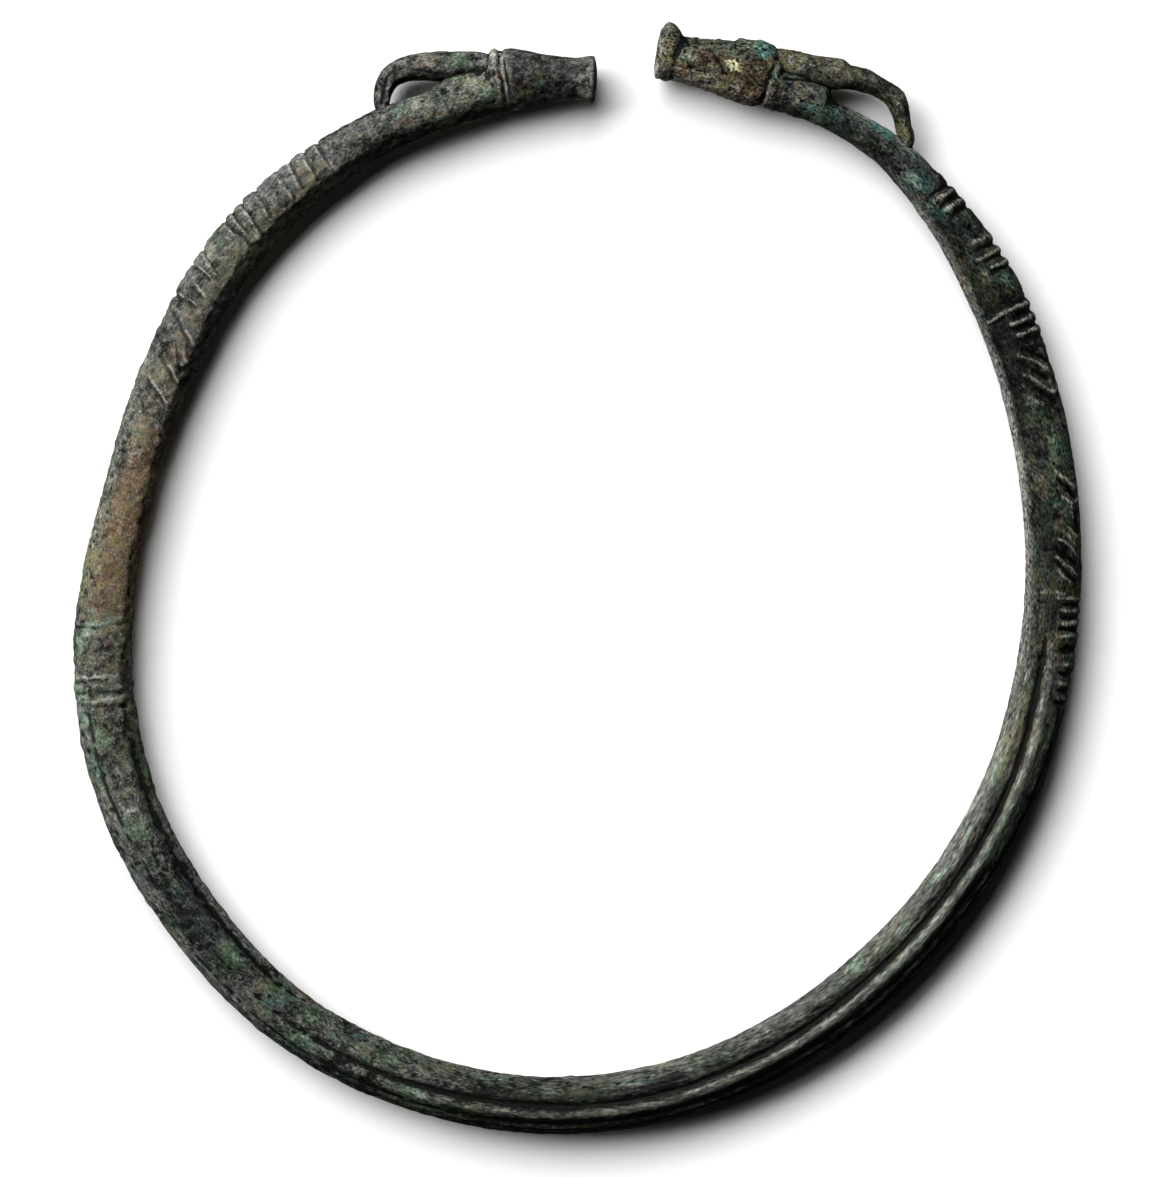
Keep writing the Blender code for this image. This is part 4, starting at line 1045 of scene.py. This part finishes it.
def paint(body, co, edges, counts, marks):
    """Stores the colours as point attributes of the mesh."""
    units = co / U - np.array([CENTRE[0], CENTRE[1], 0.0])
    seen = view_of(units)
    horn = marks["horn"]
    reach = np.hypot(units[:, 0], units[:, 1])
    spin = np.degrees(np.arctan2(units[:, 1], units[:, 0])) % 360
    angle = np.where(spin < 82, spin + 360, spin)  # 82 to 442 degrees
    angle = np.where((marks["angle"] > 300) & (angle < 100), angle + 360, angle)
    tint_at = np.where(horn > 0.5, marks["angle"], angle)
    upper = ramp(units[:, 2], 18, 34)
    found = patches(seen, angle, reach)

    # high spots are worn pale, and raised ribs also carry a painted highlight; hollows, cuts and pits are dark with
    # dirt, painted dark enough to stand in for their shade as well
    normals = np.zeros(len(co) * 3)
    body.data.vertices.foreach_get("normal", normals)
    normals = normals.reshape(-1, 3)
    smooth = units.copy()
    level = []
    for k in range(1, 25):
        smooth = 0.3 * smooth + 0.7 * averaged(smooth, edges, counts)
        if k in (3, 24):
            level.append(np.sum((units - smooth) * normals, axis=1))
    high = 1.4 * level[0] + 0.55 * (level[1] - 0.25)
    pale = np.clip(0.45 * ramp(high, 0.25, 1.1) + 0.6 * marks["raised"], 0, 0.8)
    dark = np.clip(ramp(-high, 0.05, 0.9) + 1.0 * marks["cut"] + 0.7 * marks["pit"] * (1 - 0.6 * ramp(marks["angle"], 150, 160) * (1 - ramp(marks["angle"], 196, 206))), 0, 1)

    layers = {}
    across = (curve(OUTLINE, 1, angle) - reach) / (curve(OUTLINE, 1, angle) - curve(OUTLINE, 2, angle))
    outer_part = 1 - ramp(across, 0.08, 0.32)
    start = line(INNER_FACE, 1, angle)
    inner_part = ramp(across, start, start + line(INNER_FACE, 2, angle))
    clean = inner_part * ramp(angle, 340, 350) * (1 - ramp(angle, 413, 420))  # the inner face on the right
    for k, name in enumerate(COLOURS):
        even = line(ZONES, k + 2, tint_at)
        even = even * 0.95 + 0.13 * ramp(even, 0.05, 0.2)
        if name in ("tan", "rust"):
            even = even * (0.45 + 0.65 * ramp(across, 0.1, 0.5))
        elif name != "blue":
            even = even * (1 - 0.65 * clean)
        layers[name] = np.clip(np.maximum(even, found[name] * upper * 1.1), 0, 1)
    tone = (
        outer_part * line(TONES, 1, angle)
        + (1 - outer_part - inner_part) * line(TONES, 2, angle)
        + inner_part * line(TONES, 3, angle)
    )
    # the flutes' ridge (band) and the raised ribs are made lighter: partly worn metal, partly a painted highlight
    tone = tone + horn * (np.where(angle > 300, HORN_TONE - 0.11, HORN_TONE) - tone) + 0.50 * marks["band"] + (0.45 - 0.12 * ramp(angle, 360, 375)) * marks["raised"]
    # painted shade: the horns' sides that face down and to the right in plan, away from the light, are made darker and
    # rust-brown
    shaded = horn * ramp(-normals[:, 1] + 0.35 * normals[:, 0], 0.30, 0.95) * (angle < 300)
    tone = tone - 0.3 * shaded
    layers["rust"] = np.maximum(layers["rust"], 0.42 * shaded)
    light = np.max([found[name] for name in ("green", "teal", "mint", "tan", "pale")], axis=0)
    deep = np.max([found[name] for name in ("rust", "red", "olive", "blue")], axis=0)
    tone = tone - 0.6 * deep * upper * np.clip(tone - 0.28, 0, 1)
    tone = np.maximum(tone, np.maximum(0.46 * light, 0.34 * deep) * upper)
    layers["tone"] = np.clip(tone + (0.12 * horn * (angle < 300) - 0.06) * (1 - upper), 0, 1)
    # lower on the flanks, out of sight from above, the tone is raised towards 0.47, so the painted shade of the
    # near-black outer band stays only where it is seen from above
    hidden = 1 - ramp(units[:, 2], 24, 37)
    layers["tone"] = layers["tone"] + hidden * np.clip(0.47 - layers["tone"], 0, 1)
    inward = ramp(marks["turn"] - edge_line(angle), 4, 14) * (1 - ramp(marks["turn"], 176, 182)) * ramp(angle, 106, 114) * (1 - ramp(angle, 154, 164))
    dark = dark * (1 - 0.85 * inward * (1 - horn))
    ridge = np.exp(-(((marks["turn"] - edge_line(angle) - 3) / 11) ** 2)) * ramp(angle, 106, 118) * (1 - ramp(angle, 193, 204))
    dark = np.clip(dark + 0.42 * ridge * (1 - 0.75 * ramp(angle, 156, 164)), 0, 1)
    layers["pale"] = np.clip(pale * (0.45 + 0.55 * upper) + found["pale"] * upper, 0, 1)
    layers["dark"] = np.clip(dark * (1 - 0.4 * horn * (1 - upper)) + found["dark"] * upper + 0.08 * (1 - upper) * (1 - horn), 0, 1)
    layers["even"] = np.maximum(ramp(angle, 255, 275) * (1 - ramp(angle, 426, 429)) * (0.8 + 0.7 * marks["band"]), 0.4 * (1 - ramp(angle, 98, 100))) + 0.1

    steps = np.arange(80, 446.5, 0.5)
    run = np.concatenate([[0.0], np.cumsum(np.radians(0.5) * 510 * line(FLOW, 1, steps[:-1] + 0.25))])
    flow = body.data.attributes.new("flow", "FLOAT_VECTOR", "POINT")
    place = np.stack([np.interp(angle, steps, run), reach, units[:, 2]], axis=1) * U * 1000
    flow.data.foreach_set("vector", place.astype(np.float32).ravel())

    for name, keys in (
        ("patina_a", ("green", "teal", "mint")),
        ("patina_b", ("tan", "rust", "red")),
        ("patina_c", ("olive", "blue", "tone")),
        ("patina_d", ("pale", "dark", "even")),
    ):
        layer = body.data.attributes.new(name, "FLOAT_COLOR", "POINT")
        values = np.ones((len(co), 4), np.float32)
        values[:, 3] = 0.5 * line(CRISP, 1, angle) * (1 - 0.6 * np.clip(1.4 * marks["band"], 0, 1)) if name == "patina_d" else np.clip(found["cream"] * 1.2, 0, 1) * upper
        for k, key in enumerate(keys):
            values[:, k] = layers[key]
        layer.data.foreach_set("color", values.ravel())


PALETTE = {
    "green": (0.088, 0.145, 0.085),
    "teal": (0.045, 0.120, 0.105),
    "mint": (0.200, 0.285, 0.215),
    "tan": (0.225, 0.165, 0.105),
    "rust": (0.125, 0.062, 0.026),
    "red": (0.105, 0.034, 0.030),
    "olive": (0.160, 0.145, 0.060),
    "blue": (0.070, 0.080, 0.105),
    "pale": (0.300, 0.295, 0.260),
    "cream": (0.420, 0.400, 0.235),
    # near black: dirt, made this dark so that it also paints the shade in hollows and grooves
    "dark": (0.0028, 0.0027, 0.0023),
}


def bronze():
    """Old bronze: grey-brown metal with layers of patina, dirt and painted shade in the hollows, and pale edges that
    are partly worn and partly a painted highlight.
    """
    mat = bpy.data.materials.new("old_bronze")
    mat.use_nodes = True
    tree = mat.node_tree
    shader = tree.nodes["Principled BSDF"]

    def put(socket, value):
        if isinstance(value, bpy.types.NodeSocket):
            tree.links.new(value, socket)
        else:
            socket.default_value = value

    def calc(operation, a, b=None, c=None, clamp=False):
        n = tree.nodes.new("ShaderNodeMath")
        n.operation, n.use_clamp = operation, clamp
        for socket, value in zip(n.inputs, (a, b, c)):
            if value is not None:
                put(socket, value)
        return n.outputs[0]

    def mix(amount, a, b, kind="MIX"):
        n = tree.nodes.new("ShaderNodeMix")
        n.data_type, n.blend_type = "RGBA", kind
        put(n.inputs[0], amount)
        for socket, value in ((n.inputs[6], a), (n.inputs[7], b)):
            put(socket, value if isinstance(value, bpy.types.NodeSocket) else (*value, 1.0))
        return n.outputs[2]

    where = tree.nodes.new("ShaderNodeTexCoord").outputs["Object"]
    scale = tree.nodes.new("ShaderNodeVectorMath")
    scale.operation = "SCALE"
    scale.inputs["Scale"].default_value = 1000.0
    put(scale.inputs[0], where)
    mm = scale.outputs[0]

    flow = tree.nodes.new("ShaderNodeAttribute")
    flow.attribute_name = "flow"

    def speckle(size, detail, rough, stretch, vector):
        """Three separate noises, each stretched to fill 0 to 1."""
        n = tree.nodes.new("ShaderNodeTexNoise")
        n.inputs["Scale"].default_value = 1.0 / size
        n.inputs["Detail"].default_value = detail
        n.inputs["Roughness"].default_value = rough
        put(n.inputs["Vector"], vector)
        s = tree.nodes.new("ShaderNodeSeparateColor")
        put(s.inputs[0], n.outputs["Color"])
        return [calc("MULTIPLY_ADD", out, stretch, 0.5 - 0.5 * stretch, clamp=True) for out in s.outputs]

    def attribute(name):
        n = tree.nodes.new("ShaderNodeAttribute")
        n.attribute_name = name
        s = tree.nodes.new("ShaderNodeSeparateColor")
        put(s.inputs[0], n.outputs["Color"])
        return [*s.outputs, n.outputs["Alpha"]]

    broad = speckle(2.4, 2, 0.55, 2.9, flow.outputs["Vector"])
    middling = speckle(0.60, 1, 0.5, 2.4, flow.outputs["Vector"])
    fine = speckle(0.19, 1, 0.5, 2.2, flow.outputs["Vector"])
    a, b, c, d = (attribute(name) for name in ("patina_a", "patina_b", "patina_c", "patina_d"))
    wanted = dict(zip(("green", "teal", "mint", "tan", "rust", "red", "olive", "blue"), (*a[:3], *b[:3], *c[:2])))
    crisp = calc("MULTIPLY", d[3], 2.0)
    tone, pale, dark, even = c[2], d[0], d[1], d[2]

    def grain(i, j, k, sizes=(0.24, 0.38, 0.38)):
        """A mottling of its own for each colour."""
        first = calc("MULTIPLY_ADD", middling[j], sizes[1], calc("MULTIPLY", broad[i], sizes[0]))
        return calc("MULTIPLY_ADD", fine[k], sizes[2], first)

    # the metal itself
    mottle = calc("SUBTRACT", 1.25, calc("MULTIPLY", even, 0.55))
    shade = calc("MULTIPLY_ADD", calc("SUBTRACT", grain(0, 1, 2), 0.5), mottle, tone)
    steps = tree.nodes.new("ShaderNodeValToRGB")
    ramp_ = steps.color_ramp
    for k, (at, colour) in enumerate(
        (
            (0.0, (0.0040, 0.0040, 0.0036)),
            (0.15, (0.0125, 0.0128, 0.0115)),
            (0.3, (0.036, 0.037, 0.0330)),
            (0.55, (0.092, 0.095, 0.084)),
            (0.8, (0.180, 0.182, 0.162)),
            (1.0, (0.31, 0.31, 0.275)),
        )
    ):
        stop = ramp_.elements[k] if k < 2 else ramp_.elements.new(at)
        stop.position, stop.color = at, (*colour, 1.0)
    put(steps.inputs[0], shade)
    colour = steps.outputs[0]

    # patina is darker where the metal under it is dark, so it also takes on the shade painted into the tone
    depth = calc("MULTIPLY_ADD", tone, 1.75, 0.10)
    shaded = tree.nodes.new("ShaderNodeCombineColor")
    for socket in shaded.inputs:
        put(socket, depth)
    shaded = shaded.outputs[0]
    order = (("blue", 0, 2, 1), ("tan", 1, 0, 0), ("rust", 2, 1, 1), ("olive", 0, 0, 2), ("green", 1, 2, 0), ("teal", 2, 0, 1), ("red", 0, 1, 0), ("mint", 1, 1, 2))
    cover = 0.0
    for name, i, j, k in order:
        spread = calc("ADD", grain(i, j, k, (0.50, 0.25, 0.10)), wanted[name])
        there = calc("MULTIPLY", calc("MULTIPLY_ADD", spread, 2.3, -1.85, clamp=True), 0.9)
        tint = mix(grain(k, i, j), tuple(0.35 * v for v in PALETTE[name]), tuple(1.5 * v for v in PALETTE[name]))
        tint = mix(1.0, tint, shaded, "MULTIPLY")
        colour = mix(there, colour, tint)
        cover = calc("MAXIMUM", cover, there)
    # pale: wear on high spots and ribs, together with the painted highlights among the pale marks
    worn = calc("MULTIPLY_ADD", calc("ADD", grain(2, 2, 0), pale), 4.0, -3.8, clamp=True)
    pale_tint = mix(1.0, PALETTE["pale"], shaded, "MULTIPLY")
    colour = mix(calc("MULTIPLY", worn, 0.62), colour, pale_tint)
    cream = calc("MULTIPLY_ADD", calc("ADD", grain(0, 0, 2), a[3]), 4.0, -4.1, clamp=True)
    colour = mix(calc("MULTIPLY", cream, 0.85), colour, PALETTE["cream"])
    # dark marks: dirt in hollows, cuts and pits, and painted shade in the grooves and on sides away from the light
    dirt_and_shade = calc("MULTIPLY_ADD", calc("ADD", grain(1, 0, 1), dark), 4.0, -3.7, clamp=True)
    held = calc("MULTIPLY", dirt_and_shade, calc("MULTIPLY_ADD", crisp, 0.40, 0.46, clamp=True))
    colour = mix(calc("MINIMUM", held, 0.97), colour, PALETTE["dark"])
    # fine grain: light and dark, and a little warmer or cooler
    level = tree.nodes.new("ShaderNodeCombineColor")
    grey = calc("MULTIPLY_ADD", calc("SUBTRACT", fine[1], 0.5), crisp, 1.0)
    for socket, own, amount in zip(level.inputs, (middling[1], middling[0], middling[2]), (0.08, 0.02, 0.08)):
        put(socket, calc("MULTIPLY_ADD", calc("SUBTRACT", own, 0.5), amount, grey))
    colour = mix(1.0, colour, level.outputs[0], "MULTIPLY")
    put(shader.inputs["Base Color"], colour)
    shader.inputs["Specular IOR Level"].default_value = 0.08

    bare = calc("MULTIPLY", even, calc("SUBTRACT", 1.0, cover))
    put(shader.inputs["Metallic"], calc("MULTIPLY_ADD", bare, 0.22, 0.04, clamp=True))
    gloss = calc("MULTIPLY_ADD", bare, -0.28, 0.70)
    put(shader.inputs["Roughness"], calc("MULTIPLY_ADD", fine[2], 0.12, gloss, clamp=True))

    height = calc("MULTIPLY_ADD", middling[0], 0.9, calc("MULTIPLY", fine[0], 0.55))
    height = calc("MULTIPLY_ADD", cover, 0.2, height)
    bump = tree.nodes.new("ShaderNodeBump")
    bump.inputs["Strength"].default_value = 0.8
    bump.inputs["Distance"].default_value = 0.00005
    put(bump.inputs["Height"], height)
    put(shader.inputs["Normal"], bump.outputs[0])
    return mat


# ---------------------------------------------------------------- floor, light, camera
def studio():
    """White paper under a soft light from the upper left. What the paper throws back onto the bronze is kept low, and
    a lamp straight below lights only the underside, through the paper."""
    floor_mesh = bpy.data.meshes.new("floor")
    r, z = 12.0, -0.00002
    floor_mesh.from_pydata([(-r, -r, z), (r, -r, z), (r, r, z), (-r, r, z)], [], [(0, 1, 2, 3)])
    floor = bpy.data.objects.new("floor", floor_mesh)
    bpy.context.scene.collection.objects.link(floor)
    paper = bpy.data.materials.new("white_paper")
    paper.use_nodes = True
    tree = paper.node_tree
    shader = tree.nodes["Principled BSDF"]
    shader.inputs["Roughness"].default_value = 0.9
    shader.inputs["Specular IOR Level"].default_value = 0.1
    grain = tree.nodes.new("ShaderNodeTexNoise")
    grain.inputs["Scale"].default_value = 900.0
    steps = tree.nodes.new("ShaderNodeValToRGB")
    steps.color_ramp.elements[0].color = (0.90, 0.90, 0.90, 1)
    steps.color_ramp.elements[1].color = (0.93, 0.93, 0.93, 1)
    tree.links.new(grain.outputs[0], steps.inputs[0])
    tree.links.new(steps.outputs[0], shader.inputs["Base Color"])
    path = tree.nodes.new("ShaderNodeLightPath")
    side = tree.nodes.new("ShaderNodeNewGeometry")
    dull = tree.nodes.new("ShaderNodeBsdfDiffuse")
    dull.inputs[0].default_value = (0.08, 0.08, 0.08, 1)
    clear = tree.nodes.new("ShaderNodeBsdfTransparent")
    seen, through = tree.nodes.new("ShaderNodeMixShader"), tree.nodes.new("ShaderNodeMixShader")
    either = tree.nodes.new("ShaderNodeMath")
    either.operation = "MAXIMUM"
    tree.links.new(path.outputs["Is Camera Ray"], seen.inputs[0])
    tree.links.new(dull.outputs[0], seen.inputs[1])
    tree.links.new(shader.outputs[0], seen.inputs[2])
    tree.links.new(path.outputs["Is Shadow Ray"], either.inputs[0])
    tree.links.new(side.outputs["Backfacing"], either.inputs[1])
    tree.links.new(either.outputs[0], through.inputs[0])
    tree.links.new(seen.outputs[0], through.inputs[1])
    tree.links.new(clear.outputs[0], through.inputs[2])
    tree.links.new(through.outputs[0], tree.nodes["Material Output"].inputs[0])
    floor.data.materials.append(paper)

    def softbox(name, azimuth, elevation, distance, width, height, power):
        light = bpy.data.lights.new(name, "AREA")
        light.shape = "ELLIPSE"
        light.size, light.size_y, light.energy = width, height, power
        obj = bpy.data.objects.new(name, light)
        a, e = math.radians(azimuth), math.radians(elevation)
        to = Vector((math.cos(a) * math.cos(e), math.sin(a) * math.cos(e), math.sin(e)))
        obj.location = to * distance
        obj.rotation_mode = "QUATERNION"
        obj.rotation_quaternion = to.to_track_quat("Z", "Y")
        obj.visible_camera = False
        bpy.context.scene.collection.objects.link(obj)

    softbox("key", 131, 46, 4.0, 5.6, 2.6, 280.0)
    softbox("spread", 131, 48, 4.0, 7.2, 3.8, 112.0)
    softbox("under", 0, -90, 3.0, 0.6, 0.6, 20.0)
    world = bpy.data.worlds.new("studio")
    world.use_nodes = True
    nodes, links = world.node_tree.nodes, world.node_tree.links
    low = nodes["Background"]
    low.inputs[0].default_value = (1.0, 1.0, 1.0, 1.0)
    low.inputs[1].default_value = 0.002
    white = nodes.new("ShaderNodeBackground")
    white.inputs[0].default_value = (1.0, 1.0, 1.0, 1.0)
    ray = nodes.new("ShaderNodeLightPath")
    pick = nodes.new("ShaderNodeMixShader")
    links.new(ray.outputs["Is Camera Ray"], pick.inputs[0])
    links.new(low.outputs[0], pick.inputs[1])
    links.new(white.outputs[0], pick.inputs[2])
    links.new(pick.outputs[0], nodes["World Output"].inputs[0])
    bpy.context.scene.world = world
    bpy.context.scene.view_settings.view_transform = "Standard"

    camera = bpy.data.cameras.new("camera")
    camera.sensor_width = 36.0
    distance, long_side = 0.6, 1177 * U
    camera.lens = 36.0 * distance / long_side
    camera.clip_start, camera.clip_end = 0.05, 20.0
    obj = bpy.data.objects.new("camera", camera)
    middle = ((575.5 - VIEW_CENTRE[0] + CENTRE[0]) * U, (VIEW_CENTRE[1] - 588.5 + CENTRE[1]) * U)
    obj.location = (middle[0], middle[1], MID_Z * U + distance)
    bpy.context.scene.collection.objects.link(obj)
    bpy.context.scene.camera = obj


body, co, edges, counts, marks = build_bracelet()
paint(body, co, edges, counts, marks)
body.data.materials.clear()
body.data.materials.append(bronze())
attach(body, "root")
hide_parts("bracelet")
studio()
